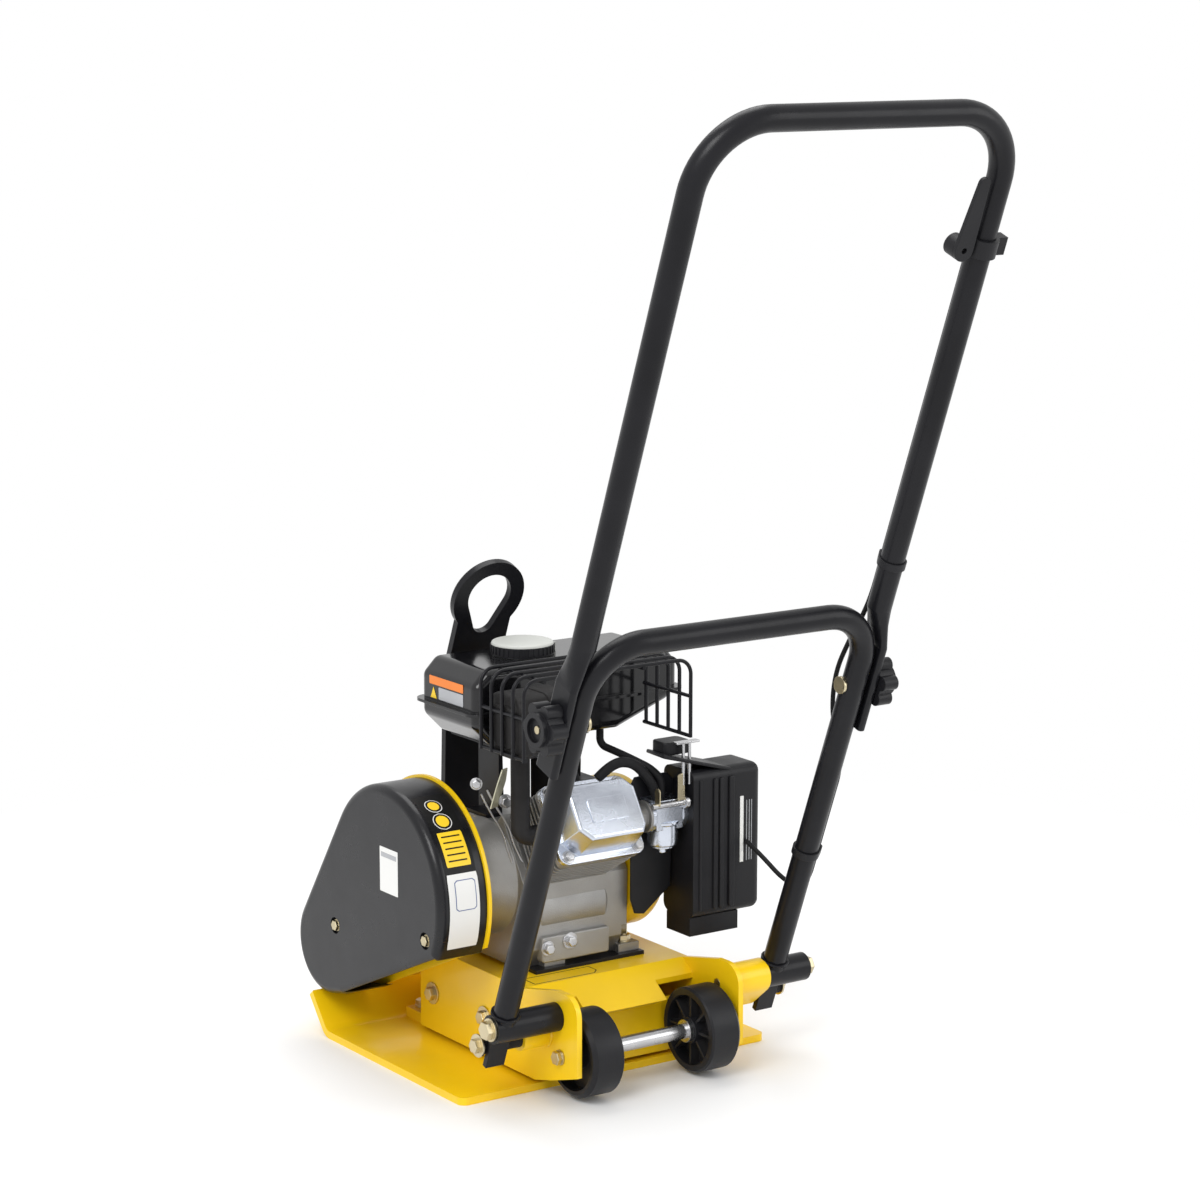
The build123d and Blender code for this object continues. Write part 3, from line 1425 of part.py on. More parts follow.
clip_len = 8.0
clip_wall = 2.0
for name, foot, run, half, distance, side_way in (
    ("cable_clip_lower", lower_foot, lower_run, hoop_half, 152, (1, 0)),
    ("cable_clip_upper", upper_foot, upper_run, upper_half, 136, (0, 1)),
):
    clip_plane = Plane(
        origin=(half, *on_leg(foot, run, distance)), x_dir=(1, 0, 0), z_dir=(0, *run)
    )
    with BuildPart() as clip:
        with BuildSketch(clip_plane):
            Circle(tube_r + clip_wall)
            with Locations((side_way[0] * cable_off, side_way[1] * cable_off)):
                Circle(cable_r + clip_wall)
            make_hull()
            Circle(tube_r + run_gap, mode=Mode.SUBTRACT)
            with Locations((side_way[0] * cable_off, side_way[1] * cable_off)):
                Circle(cable_r + run_gap, mode=Mode.SUBTRACT)
        extrude(amount=clip_len)
    save(clip.part, name)

# ================================================================ fasteners
up = (0, 0, 1)
down = (0, 0, -1)
front = (0, 1, 0)
bolts = []


def place_bolt(direction, x, y, z, sizes, washer_radius, length):
    """Put a bolt under its head's seat, pointing out along the given direction."""
    bolts.append(facing(direction, x, y, z) * hex_bolt(*sizes, washer_radius, length))


m6 = (m6_r, m6_flats, m6_head)
m8 = (m8_r, m8_flats, m8_head)
m10 = (m10_r, m10_flats, m10_head)
for bolt_x, bolt_y in engine_bolts:
    place_bolt(up, bolt_x, bolt_y, case_low + 9, m8, m8_washer_r, 9 + engine_plate_t + deck_t)
    place_bolt(down, bolt_x, bolt_y, deck_top - deck_t, m8, m8_washer_r, 0.5)
for side in (-1, 1):
    for bolt_y in foot_bolt_ys:
        seat_z = sole_t + ex_foot_t
        place_bolt(up, side * foot_bolt_x, bolt_y, seat_z, m8, m8_washer_r, seat_z - washer_t)
    for bolt_y in mount_ys:
        place_bolt((side, 0, 0), side * deck_outer, bolt_y, mount_z, m8, big_washer_r, side_t + 12)
        place_bolt((-side, 0, 0), side * (lug_x - lug_t / 2), bolt_y, mount_z, m8, m8_washer_r, lug_t + 12)
    place_bolt((side, 0, 0), side * deck_outer, axle_y, axle_z, m8, m8_washer_r, side_t + 16)
for bolt_x in eye_bolt_xs:
    place_bolt(front, bolt_x, deck_front + eye_t, eye_bolt_z, m8, m8_washer_r, eye_t + deck_t)
for seat in (left_sleeve_end, right_sleeve_end):
    side = 1 if seat > 0 else -1
    reach = abs(seat) + face_gap
    place_bolt((side, 0, 0), side * reach, pivot_y, pivot_z, m10, m10_washer_r, reach - deck_outer + side_t)
for seat in (left_stop_end, right_stop_end):
    side = 1 if seat > 0 else -1
    stop_at = (pivot_y + stop_dy, pivot_z + stop_dz)
    place_bolt((side, 0, 0), seat, *stop_at, m8, big_washer_r, abs(seat) - deck_outer + side_t)
for bolt_y, bolt_z in cover_bolts:
    place_bolt((-1, 0, 0), cover_outer + 4, bolt_y, bolt_z, m6, m6_washer_r, cover_inner - cover_outer - 4)
for side in (-1, 1):
    for turn in range(4):
        angle = radians(45 + 90 * turn)
        screw_y = ex_y + cover_screw_r * cos(angle)
        screw_z = ex_z + cover_screw_r * sin(angle)
        seat_x = side * (ex_half + ex_cover_t)
        place_bolt((side, 0, 0), seat_x, screw_y, screw_z, m6, screw_washer_r, ex_cover_t + screw_bite)
with BuildPart() as frame_bolts:
    add(bolts)
save(frame_bolts.part, "frame_bolts")
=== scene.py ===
import bpy
import bmesh
from math import radians, sin, cos, pi
from mathutils import Vector, Matrix


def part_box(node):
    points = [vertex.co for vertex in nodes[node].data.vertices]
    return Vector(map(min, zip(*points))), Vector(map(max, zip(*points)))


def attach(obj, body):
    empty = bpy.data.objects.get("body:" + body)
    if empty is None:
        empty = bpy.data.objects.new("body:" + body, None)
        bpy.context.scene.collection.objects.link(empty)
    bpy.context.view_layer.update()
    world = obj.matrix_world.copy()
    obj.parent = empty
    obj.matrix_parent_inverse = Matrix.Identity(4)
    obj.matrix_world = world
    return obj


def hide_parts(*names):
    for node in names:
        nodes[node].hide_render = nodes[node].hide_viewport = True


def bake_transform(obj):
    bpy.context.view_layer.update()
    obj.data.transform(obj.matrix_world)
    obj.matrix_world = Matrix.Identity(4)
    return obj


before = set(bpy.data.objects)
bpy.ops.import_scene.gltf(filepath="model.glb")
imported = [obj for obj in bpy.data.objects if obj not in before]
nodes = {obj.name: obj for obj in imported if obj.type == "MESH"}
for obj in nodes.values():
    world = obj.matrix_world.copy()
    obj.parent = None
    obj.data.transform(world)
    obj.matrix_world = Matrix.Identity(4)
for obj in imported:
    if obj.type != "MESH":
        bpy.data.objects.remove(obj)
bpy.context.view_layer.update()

# ------------------------------------------------------------------ materials


def new_material(name):
    """An empty material with its node tree and shader."""
    material = bpy.data.materials.new(name)
    material.use_nodes = True
    tree = material.node_tree
    return material, tree, tree.nodes["Principled BSDF"]


def noise(tree, scale, detail=4.0, rough=0.55):
    """Noise texture in the object's own coordinates, which are the row frame in metres."""
    place = tree.nodes.new("ShaderNodeTexCoord")
    texture = tree.nodes.new("ShaderNodeTexNoise")
    texture.inputs["Scale"].default_value = scale
    texture.inputs["Detail"].default_value = detail
    texture.inputs["Roughness"].default_value = rough
    tree.links.new(place.outputs["Object"], texture.inputs["Vector"])
    return texture.outputs["Fac"]


def spread(tree, value, low, high, out_low, out_high):
    """Map a value from one range to another, clamped."""
    node = tree.nodes.new("ShaderNodeMapRange")
    node.inputs["From Min"].default_value = low
    node.inputs["From Max"].default_value = high
    node.inputs["To Min"].default_value = out_low
    node.inputs["To Max"].default_value = out_high
    tree.links.new(value, node.inputs["Value"])
    return node.outputs["Result"]


def mix_colour(tree, factor, first, second):
    """Mix two colours, each a tuple or a link."""
    node = tree.nodes.new("ShaderNodeMix")
    node.data_type = "RGBA"
    tree.links.new(factor, node.inputs["Factor"])
    for socket, colour in ((node.inputs["A"], first), (node.inputs["B"], second)):
        if isinstance(colour, tuple):
            socket.default_value = (*colour, 1.0)
        else:
            tree.links.new(colour, socket)
    return node.outputs["Result"]


def finish_of(name, colour, rough, metal=0.0, vary=0.15, grain=900.0, bump=0.02, dust=0.0, coat=0.0,
              soft=0.0008, shine=0.5):
    """Procedural finish: colour drift, fine grain and a little dust in the hollows."""
    material, tree, shader = new_material(name)
    drift = spread(tree, noise(tree, 14.0), 0.3, 0.7, 0.0, 1.0)
    darker = tuple(c * (1 - vary) for c in colour)
    lighter = tuple(min(1.0, c * (1 + vary) + 0.01 * vary) for c in colour)
    base = mix_colour(tree, drift, darker, lighter)
    if dust:
        shape = tree.nodes.new("ShaderNodeNewGeometry").outputs["Pointiness"]
        hollow = spread(tree, shape, 0.47, 0.40, 0.0, dust)
        base = mix_colour(tree, hollow, base, (0.30, 0.27, 0.22))
    tree.links.new(base, shader.inputs["Base Color"])
    shader.inputs["Metallic"].default_value = metal
    uneven = spread(tree, noise(tree, 35.0), 0.3, 0.7, rough * 0.85, rough * 1.2)
    tree.links.new(uneven, shader.inputs["Roughness"])
    shader.inputs["Coat Weight"].default_value = coat
    shader.inputs["Coat Roughness"].default_value = 0.12
    shader.inputs["Specular IOR Level"].default_value = shine
    rounded = tree.nodes.new("ShaderNodeBevel")
    rounded.samples = 6
    rounded.inputs["Radius"].default_value = soft
    relief = tree.nodes.new("ShaderNodeBump")
    relief.inputs["Strength"].default_value = 1.0
    relief.inputs["Distance"].default_value = bump / 1000
    tree.links.new(noise(tree, grain, 2.0), relief.inputs["Height"])
    tree.links.new(rounded.outputs["Normal"], relief.inputs["Normal"])
    tree.links.new(relief.outputs["Normal"], shader.inputs["Normal"])
    return material


yellow = finish_of("yellow_paint", (0.93, 0.60, 0.004), 0.34, vary=0.03, grain=260, bump=0.08,
                   coat=0.25, shine=0.35)
yellow_cast = finish_of("yellow_cast", (0.90, 0.56, 0.006), 0.42, vary=0.05, grain=420, bump=0.35, shine=0.3)
black_gloss = finish_of("black_powder", (0.006, 0.006, 0.008), 0.32, vary=0.2, grain=900, bump=0.06,
                        coat=0.05, shine=0.22)
black_tank = finish_of("black_tank", (0.005, 0.005, 0.006), 0.14, vary=0.2, grain=120, bump=0.05, coat=0.3,
                       shine=0.35)
black_plastic = finish_of("black_plastic", (0.010, 0.010, 0.012), 0.40, vary=0.15, grain=1500, bump=0.08,
                          dust=0.03, shine=0.25)
cover_plastic = finish_of("cover_plastic", (0.007, 0.007, 0.009), 0.30, vary=0.15, grain=1300, bump=0.05,
                          coat=0.12, shine=0.3)
black_rubber = finish_of("black_rubber", (0.011, 0.011, 0.012), 0.60, vary=0.2, grain=1100, bump=0.12,
                         dust=0.04, shine=0.2)
muffler_black = finish_of("heat_black", (0.016, 0.015, 0.015), 0.55, metal=0.3, vary=0.3, grain=700,
                          bump=0.15, shine=0.25)
cast_alloy = finish_of("cast_alloy", (0.36, 0.355, 0.345), 0.46, metal=0.85, vary=0.10, grain=800, bump=0.30,
                       dust=0.12, soft=0.0012)
bright_alloy = finish_of("bright_alloy", (0.64, 0.68, 0.76), 0.24, metal=1.0, vary=0.05, grain=500, bump=0.05,
                         dust=0.06, soft=0.0015)
iron = finish_of("machined_iron", (0.20, 0.20, 0.20), 0.42, metal=0.9, vary=0.15, grain=600, bump=0.1)
steel = finish_of("bright_steel", (0.55, 0.55, 0.56), 0.28, metal=1.0, vary=0.08, grain=700, bump=0.05)
zinc = finish_of("yellow_zinc", (0.62, 0.54, 0.36), 0.30, metal=1.0, vary=0.22, grain=900, bump=0.06)
pale_zinc = finish_of("pale_zinc", (0.62, 0.60, 0.45), 0.32, metal=0.7, vary=0.15, grain=500, bump=0.05)
paper = finish_of("filter_paper", (0.75, 0.70, 0.55), 0.9, vary=0.1, grain=300, bump=0.3)
cap_grey = finish_of("cap_grey", (0.52, 0.53, 0.50), 0.45, vary=0.08, grain=900, bump=0.1)
label_white = finish_of("label_white", (0.80, 0.80, 0.78), 0.4, vary=0.03, grain=200, bump=0.01)
label_yellow = finish_of("label_yellow", (0.93, 0.62, 0.02), 0.4, vary=0.04, grain=200, bump=0.01)
label_black = finish_of("label_black", (0.006, 0.006, 0.006), 0.4, vary=0.1, grain=200, bump=0.01, shine=0.25)
label_grey = finish_of("label_grey", (0.42, 0.43, 0.45), 0.4, vary=0.05, grain=200, bump=0.01)
label_blue = finish_of("label_blue", (0.12, 0.16, 0.32), 0.4, vary=0.05, grain=200, bump=0.01)
label_orange = finish_of("label_orange", (0.85, 0.22, 0.02), 0.4, vary=0.05, grain=200, bump=0.01)

looks = {
    "yellow": (yellow, ["base_plate", "engine_deck", "fan_shroud", "belt_back_plate"]),
    "cast": (yellow_cast, ["exciter_housing", "exciter_covers"]),
    # engine_plate's black is painted shade: it stands in for the shadow under the crankcase's recessed lower
    # wall
    "gloss": (black_gloss, ["lifting_eye", "lower_handle", "upper_handle", "muffler_guard", "tank_bracket",
                            "engine_plate", "guard_spacer"]),
    "tank": (black_tank, ["fuel_tank"]),
    "cover": (cover_plastic, ["belt_cover"]),
    "plastic": (black_plastic, ["throttle_lever", "throttle_clamp", "air_filter_case", "air_filter_cover",
                                "star_knob_left", "star_knob_right", "recoil_cover", "recoil_handle",
                                "wheel_left", "wheel_right",
                                "throttle_cable_engine", "throttle_cable_lower", "throttle_cable_fold",
                                "throttle_cable_upper", "cable_clip_lower", "cable_clip_upper",
                                "ignition_coil"]),
    "rubber": (black_rubber, ["rubber_mounts", "handle_stops", "v_belt", "fuel_hose", "spark_plug_lead"]),
    "heat": (muffler_black, ["muffler", "exhaust_pipe"]),
    "alloy": (cast_alloy, ["crankcase", "side_cover", "cylinder", "cylinder_head", "piston"]),
    "bright": (bright_alloy, ["valve_cover", "carburettor"]),
    "iron": (iron, ["flywheel", "clutch_drum", "exciter_pulley", "clutch_hub"]),
    "steel": (steel, ["exciter_shaft", "crankshaft", "clutch_shoes", "wheel_axle", "ball_bearings",
                      "spark_plug"]),
    "zinc": (zinc, ["frame_bolts", "handle_bolts"]),
    "paper": (paper, ["air_filter_element"]),
    "cap": (cap_grey, ["fuel_cap"]),
}
for look, names in looks.values():
    for name in names:
        node = nodes[name]
        node.data.materials.clear()
        node.data.materials.append(look)
        for polygon in node.data.polygons:
            polygon.use_smooth = True
        node.modifiers.new("smooth", "WEIGHTED_NORMAL")
        node.data.set_sharp_from_angle(angle=radians(28))

# ------------------------------------------------------------------ mesh helpers
MM = 0.001
RIGHT, AHEAD, BACK, UP = (1, 0, 0), (0, 1, 0), (0, -1, 0), (0, 0, 1)

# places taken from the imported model, in millimetres
COVER_Y, COVER_Z, COVER_R = 15.0, 190.0, 112.0     # rear round of the belt cover
COVER_FACE = -190.0
TANK_END = -120.2
FILTER_REAR = -130.0
ROD_R = 1.1


def piece(name, bm, material, body):
    """Turn a bmesh in millimetres into a named piece that rides on a body."""
    mesh = bpy.data.meshes.new(name)
    bmesh.ops.scale(bm, vec=(MM, MM, MM), verts=bm.verts)
    bmesh.ops.recalc_face_normals(bm, faces=bm.faces)
    bm.to_mesh(mesh)
    bm.free()
    obj = bpy.data.objects.new(name, mesh)
    bpy.context.scene.collection.objects.link(obj)
    mesh.materials.append(material)
    for polygon in mesh.polygons:
        polygon.use_smooth = True
    mesh.set_sharp_from_angle(angle=radians(30))
    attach(obj, body)
    return obj


def turn_to(direction):
    """Rotation that takes +Z to a direction."""
    return Vector((0, 0, 1)).rotation_difference(Vector(direction).normalized()).to_matrix().to_4x4()


def add_lathe(bm, profile, centre, direction, steps=32):
    """Add a turned shape: profile of (radius, height) pairs about a direction."""
    place = Matrix.Translation(centre) @ turn_to(direction)
    rings = []
    for radius, height in profile:
        if radius < 1e-6:
            rings.append([bm.verts.new(place @ Vector((0, 0, height)))])
            continue
        turns = [2 * pi * k / steps for k in range(steps)]
        rings.append([
            bm.verts.new(place @ Vector((radius * cos(turn), radius * sin(turn), height))) for turn in turns
        ])
    for low, high in zip(rings, rings[1:]):
        for k in range(steps):
            after = (k + 1) % steps
            if len(low) == 1:
                bm.faces.new((low[0], high[k], high[after]))
            elif len(high) == 1:
                bm.faces.new((low[k], low[after], high[0]))
            else:
                bm.faces.new((low[k], low[after], high[after], high[k]))


def add_plate(bm, outline, origin, u, v, thick):
    """Add a flat plate from an outline of (a, b) pairs along u and v, raised along u x v."""
    u = Vector(u).normalized()
    v = Vector(v).normalized()
    n = u.cross(v)
    origin = Vector(origin)
    low = [bm.verts.new(origin + a * u + b * v) for a, b in outline]
    high = [bm.verts.new(origin + a * u + b * v + thick * n) for a, b in outline]
    bm.faces.new(low)
    bm.faces.new(high)
    count = len(outline)
    for k in range(count):
        bm.faces.new((low[k], low[(k + 1) % count], high[(k + 1) % count], high[k]))


def rounded(width, height, radius, steps=5):
    """Outline of a rounded rectangle about its middle."""
    points = []
    for quarter, (sx, sy) in enumerate(((1, 1), (-1, 1), (-1, -1), (1, -1))):
        for k in range(steps + 1):
            angle = pi / 2 * (quarter + k / steps)
            points.append((sx * (width / 2 - radius) + radius * cos(angle),
                           sy * (height / 2 - radius) + radius * sin(angle)))
    return points


def circle(radius, steps=40):
    return [(radius * cos(2 * pi * k / steps), radius * sin(2 * pi * k / steps)) for k in range(steps)]


def soften(obj, width=0.6, segments=2):
    """Round a piece's edges; width in millimetres."""
    bevel = obj.modifiers.new("round", "BEVEL")
    bevel.width = width * MM
    bevel.segments = segments
    bevel.limit_method = "ANGLE"
    bevel.angle_limit = radians(35)
    return obj


def hex_screw(bm, centre, direction, flats, head, washer=0.0):
    """Add a hex head with a slight dome, on a washer if one is asked for."""
    start = 0.0
    if washer:
        add_lathe(bm, [(0, 0), (washer, 0), (washer, 1.2), (0, 1.2)], centre, direction, 28)
        start = 1.2
    across = flats / 2 / cos(pi / 6)
    top = start + head
    add_lathe(bm, [(0, start), (across, start), (across, top - 0.7), (across - 1, top), (0, top)],
              centre, direction, 6)


def cable_piece(name, points, radius, material):
    """Round cable along a smooth open spline, as a mesh."""
    curve = bpy.data.curves.new(name, "CURVE")
    curve.dimensions = "3D"
    curve.bevel_depth = radius * MM
    curve.bevel_resolution = 5
    curve.resolution_u = 16
    spline = curve.splines.new("NURBS")
    spline.points.add(len(points) - 1)
    for point, place in zip(spline.points, points):
        point.co = (*(c * MM for c in place), 1.0)
    spline.order_u = 3
    spline.use_endpoint_u = True
    holder = bpy.data.objects.new(name + "_curve", curve)
    bpy.context.scene.collection.objects.link(holder)
    mesh = bpy.data.meshes.new_from_object(holder)
    bpy.data.objects.remove(holder)
    obj = bpy.data.objects.new(name, mesh)
    bpy.context.scene.collection.objects.link(obj)
    mesh.materials.clear()
    mesh.materials.append(material)
    for polygon in mesh.polygons:
        polygon.use_smooth = True
    return obj


# ------------------------------------------------------------------ camera and stage
camera_data = bpy.data.cameras.new("camera")
camera_data.lens = 101.3
camera_data.sensor_width = 36.0
camera = bpy.data.objects.new("camera", camera_data)
bpy.context.scene.collection.objects.link(camera)
camera.location = (-1.9203, -2.9185, 1.1305)
camera.rotation_euler = (radians(90 - 10.54), 0, radians(-34.33))
bpy.context.scene.camera = camera
bpy.context.scene.view_settings.view_transform = "Standard"

FADE_START, FADE_END = 0.75, 1.25    # metres from the middle, where the floor turns plain white

floor_bm = bmesh.new()
bmesh.ops.create_grid(floor_bm, x_segments=1, y_segments=1, size=14)
floor_mesh = bpy.data.meshes.new("floor")
floor_bm.to_mesh(floor_mesh)
floor_bm.free()
floor = bpy.data.objects.new("floor", floor_mesh)
bpy.context.scene.collection.objects.link(floor)
floor_look, floor_tree, floor_shader = new_material("floor")
floor_tree.links.new(mix_colour(floor_tree, noise(floor_tree, 3.0), (0.86, 0.86, 0.86), (0.89, 0.89, 0.89)),
                     floor_shader.inputs["Base Color"])
floor_shader.inputs["Roughness"].default_value = 0.7
far = floor_tree.nodes.new("ShaderNodeVectorMath")
far.operation = "LENGTH"
floor_tree.links.new(floor_tree.nodes.new("ShaderNodeNewGeometry").outputs["Position"], far.inputs[0])
glow = floor_tree.nodes.new("ShaderNodeEmission")
blend_out = floor_tree.nodes.new("ShaderNodeMixShader")
fade = spread(floor_tree, far.outputs["Value"], FADE_START, FADE_END, 0.0, 1.0)
floor_tree.links.new(fade, blend_out.inputs["Fac"])
floor_tree.links.new(floor_shader.outputs["BSDF"], blend_out.inputs[1])
floor_tree.links.new(glow.outputs["Emission"], blend_out.inputs[2])
floor_out = next(n for n in floor_tree.nodes if n.type == "OUTPUT_MATERIAL")
floor_tree.links.new(blend_out.outputs["Shader"], floor_out.inputs["Surface"])
floor_mesh.materials.append(floor_look)

world = bpy.data.worlds.new("world")
bpy.context.scene.world = world
world.use_nodes = True
world_nodes = world.node_tree
background = world_nodes.nodes["Background"]
rays = world_nodes.nodes.new("ShaderNodeLightPath")
level = world_nodes.nodes.new("ShaderNodeMapRange")
level.inputs["To Min"].default_value = 0.85
level.inputs["To Max"].default_value = 1.0
world_nodes.links.new(rays.outputs["Is Camera Ray"], level.inputs["Value"])
world_nodes.links.new(level.outputs["Result"], background.inputs["Strength"])
background.inputs["Color"].default_value = (1, 1, 1, 1)


def area_lamp(name, place, target, size, power):
    """Soft square lamp that looks at a point."""
    data = bpy.data.lights.new(name, "AREA")
    data.energy = power
    data.size = size
    lamp = bpy.data.objects.new(name, data)
    bpy.context.scene.collection.objects.link(lamp)
    lamp.location = place
    lamp.rotation_euler = (Vector(target) - Vector(place)).to_track_quat("-Z", "Y").to_euler()


area_lamp("key", (-2.6, -1.8, 3.0), (0, 0, 0.4), 1.8, 70)
area_lamp("fill", (2.4, -2.6, 1.6), (0, 0, 0.4), 2.0, 26)
area_lamp("top", (0.4, 1.2, 3.4), (0, 0, 0.3), 2.2, 40)

# ------------------------------------------------------------------ belt cover stickers


def strip_patch(name, outline, x_mid, angle_mid, material, lift):
    """Sticker on the belt cover's curved rear: outline in millimetres across and along the curve."""
    bm = bmesh.new()
    rows = 14
    lows = min(b for a, b in outline)
    highs = max(b for a, b in outline)
    grid = []
    for row in range(rows + 1):
        b = lows + (highs - lows) * row / rows
        crossing = []
        count = len(outline)
        for k in range(count):
            (a0, b0), (a1, b1) = outline[k], outline[(k + 1) % count]
            if (b0 - b) * (b1 - b) <= 0 and b0 != b1:
                crossing.append(a0 + (a1 - a0) * (b - b0) / (b1 - b0))
        if not crossing:
            crossing = [0.0]
        left, right = min(crossing), max(crossing)
        angle = radians(angle_mid) + b / COVER_R
        radius = COVER_R + lift
        y, z = COVER_Y - radius * cos(angle), COVER_Z + radius * sin(angle)
        grid.append([bm.verts.new((x_mid + left + (right - left) * c / 4, y, z)) for c in range(5)])
    for low, high in zip(grid, grid[1:]):
        for c in range(4):
            bm.faces.new((low[c], low[c + 1], high[c + 1], high[c]))
    bmesh.ops.remove_doubles(bm, verts=bm.verts, dist=0.01)
    return piece(name, bm, material, "machine")


strip_patch("cover_strip", rounded(37, 176, 1), -160.5, 25, label_black, 0.25)
for index, (angle, radius) in enumerate(((50, 10.5), (61, 9.5))):
    strip_patch(f"cover_disc_ring_{index}", circle(radius), -161.5, angle, label_white, 0.35)
    strip_patch(f"cover_disc_dark_{index}", circle(radius - 0.9), -161.5, angle, label_black, 0.45)
    strip_patch(f"cover_disc_{index}", circle(radius - 3.2), -161.5, angle, label_yellow, 0.55)
strip_patch("cover_yellow_panel", rounded(29, 38, 0.6), -160.5, 33.5, label_yellow, 0.40)
for index in range(5):
    strip_patch(f"cover_yellow_line_{index}", rounded(22, 1.6, 0.3), -160.5, 40.5 - 3.4 * index,
                label_black, 0.5)
strip_patch("cover_white_panel", rounded(36, 80, 0.6), -160.0, -0.5, label_white, 0.40)
strip_patch("cover_white_frame", rounded(25, 32, 3), -158.0, 8.5, label_blue, 0.5)
strip_patch("cover_white_frame_middle", rounded(23, 30, 2.4), -158.0, 8.5, label_white, 0.6)


def flat_label(name, outline, origin, u, v, material, body="machine", thick=0.25):
    bm = bmesh.new()
    add_plate(bm, outline, origin, u, v, thick)
    return piece(name, bm, material, body)


flat_label("cover_side_label", rounded(36, 48, 1), (COVER_FACE, 3.0, 214.0), BACK, UP, label_white)
flat_label("cover_side_label_bar", rounded(30, 5, 0.5), (COVER_FACE - 0.25, 3.0, 230.0), BACK, UP,
           label_grey, thick=0.1)

# ------------------------------------------------------------------ tank: end label, cap ribs, cap skirt
for name, outline, y, z, look in (
    ("tank_end_band", rounded(66, 9, 1.2), 0.0, 404.5, label_orange),
    ("tank_end_lines", rounded(48, 13, 1.0), -9.0, 392.0, label_grey),
    ("tank_end_mark", [(-6, -6), (6, -6), (0, 6)], 25.0, 391.5, label_yellow),
):
    flat_label(name, outline, (TANK_END, y, z), BACK, UP, look)

CAP_X, CAP_Y, CAP_R, CAP_RIBS = -26.0, 0.0, 33.0, 36
cap_low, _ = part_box("fuel_cap")
cap_z = cap_low[2] / MM
cap_bm = bmesh.new()
for k in range(CAP_RIBS):
    angle = 2 * pi * k / CAP_RIBS
    rib_foot = (CAP_X + CAP_R * cos(angle), CAP_Y + CAP_R * sin(angle), cap_z + 6.5)
    add_plate(cap_bm, rounded(2.4, 8.5, 0.8, 2), rib_foot, (-sin(angle), cos(angle), 0), UP, 1.2)
piece("fuel_cap_ribs", cap_bm, black_plastic, "fuel_cap")
skirt_bm = bmesh.new()
add_lathe(skirt_bm, [(33.1, 0.1), (33.35, 0.4), (33.35, 10.6), (33.0, 11.0)], (CAP_X, CAP_Y, cap_z), UP, 64)
piece("fuel_cap_skirt", skirt_bm, black_plastic, "fuel_cap")

# ------------------------------------------------------------------ valve cover: bolts, raised inner panel
CYL = radians(32)
CYL_OUT = Vector((0, -cos(CYL), sin(CYL)))
CYL_UP = Vector((0, sin(CYL), cos(CYL)))
CYL_FOOT = Vector((-20, -8, 200))


def on_cylinder(x, y, distance):
    return CYL_FOOT + Vector((x, 0, 0)) + y * CYL_UP + distance * CYL_OUT


bolt_bm = bmesh.new()
for x, y in ((-42, -35), (44, -35), (-42, 35), (44, 35)):
    hex_screw(bolt_bm, on_cylinder(x, y, 134.0), CYL_OUT, 9, 4.5, 7.0)
soften(piece("valve_cover_bolts", bolt_bm, steel, "machine"), 0.3)
panel_bm = bmesh.new()
add_plate(panel_bm, rounded(46, 26, 3), on_cylinder(0, 0, 168.0), (1, 0, 0), CYL_UP, 1.0)
soften(piece("valve_cover_panel", panel_bm, bright_alloy, "machine"), 0.5)

# ------------------------------------------------------------------ crankcase: rear ledge, its bolt and studs
ledge_bm = bmesh.new()
add_plate(ledge_bm, rounded(84, 28, 3), (-16.0, -74.0, 128.0), RIGHT, UP, 12.0)
soften(piece("crankcase_ledge", ledge_bm, cast_alloy, "machine"), 1.5, 3)
barrel_bm = bmesh.new()
barrel_profile = [(0, -44), (30, -44), (34, -40), (34, 40), (30, 44), (0, 44)]
add_lathe(barrel_bm, barrel_profile, (-16, -50, 168), RIGHT, 48)
soften(piece("crankcase_barrel", barrel_bm, cast_alloy, "machine"), 1.0, 2)
flange_bm = bmesh.new()
hex_screw(flange_bm, (-24, -86, 134), (0, -1, 0), 10, 6, 9.0)
hex_screw(flange_bm, (-52, -86, 130), (0, -1, 0), 10, 6, 8.0)
hex_screw(flange_bm, (-104, -40, 204), (-0.2, -1, 0), 9, 5, 7.0)
soften(piece("crankcase_bolts", flange_bm, steel, "machine"), 0.3)
stud_bm = bmesh.new()
for x in (-39, 55):
    add_lathe(stud_bm, [(0, 0), (4, 0), (4, 13), (3.2, 14), (0, 14)], (x, -70, 124), UP, 20)
piece("engine_studs", stud_bm, zinc, "machine")

# ------------------------------------------------------------------ carburettor: bowl, drain screw, shaft
BOWL_FOOT = (79, -107, 226)
bowl_bm = bmesh.new()
add_lathe(bowl_bm, [(0, 0), (12, 0), (15.5, 2), (16.5, 6), (16.5, 24), (18, 25), (18, 28), (0, 28)],
          BOWL_FOOT, UP, 40)
add_lathe(bowl_bm, [(0, -7), (4, -7), (5, -6), (5, 0.5), (0, 0.5)], BOWL_FOOT, UP, 6)
soften(piece("float_bowl", bowl_bm, bright_alloy, "machine"), 0.5)
shaft_bm = bmesh.new()
shaft_profile = [(0, 0), (3.2, 0), (3.2, 40), (6.5, 40.5), (6.5, 45), (0, 45)]
add_lathe(shaft_bm, shaft_profile, (54, -124, 274), RIGHT, 24)
soften(piece("throttle_shaft", shaft_bm, steel, "machine"), 0.3)
arm_bm = bmesh.new()
add_plate(arm_bm, rounded(20, 9, 4), (62, -124, 283), (0, 0, 1), (0, 1, 0), 1.5)
add_plate(arm_bm, rounded(9, 30, 4), (92, -122, 290), RIGHT, UP, 1.5)
soften(piece("throttle_arms", arm_bm, zinc, "machine"), 0.2)

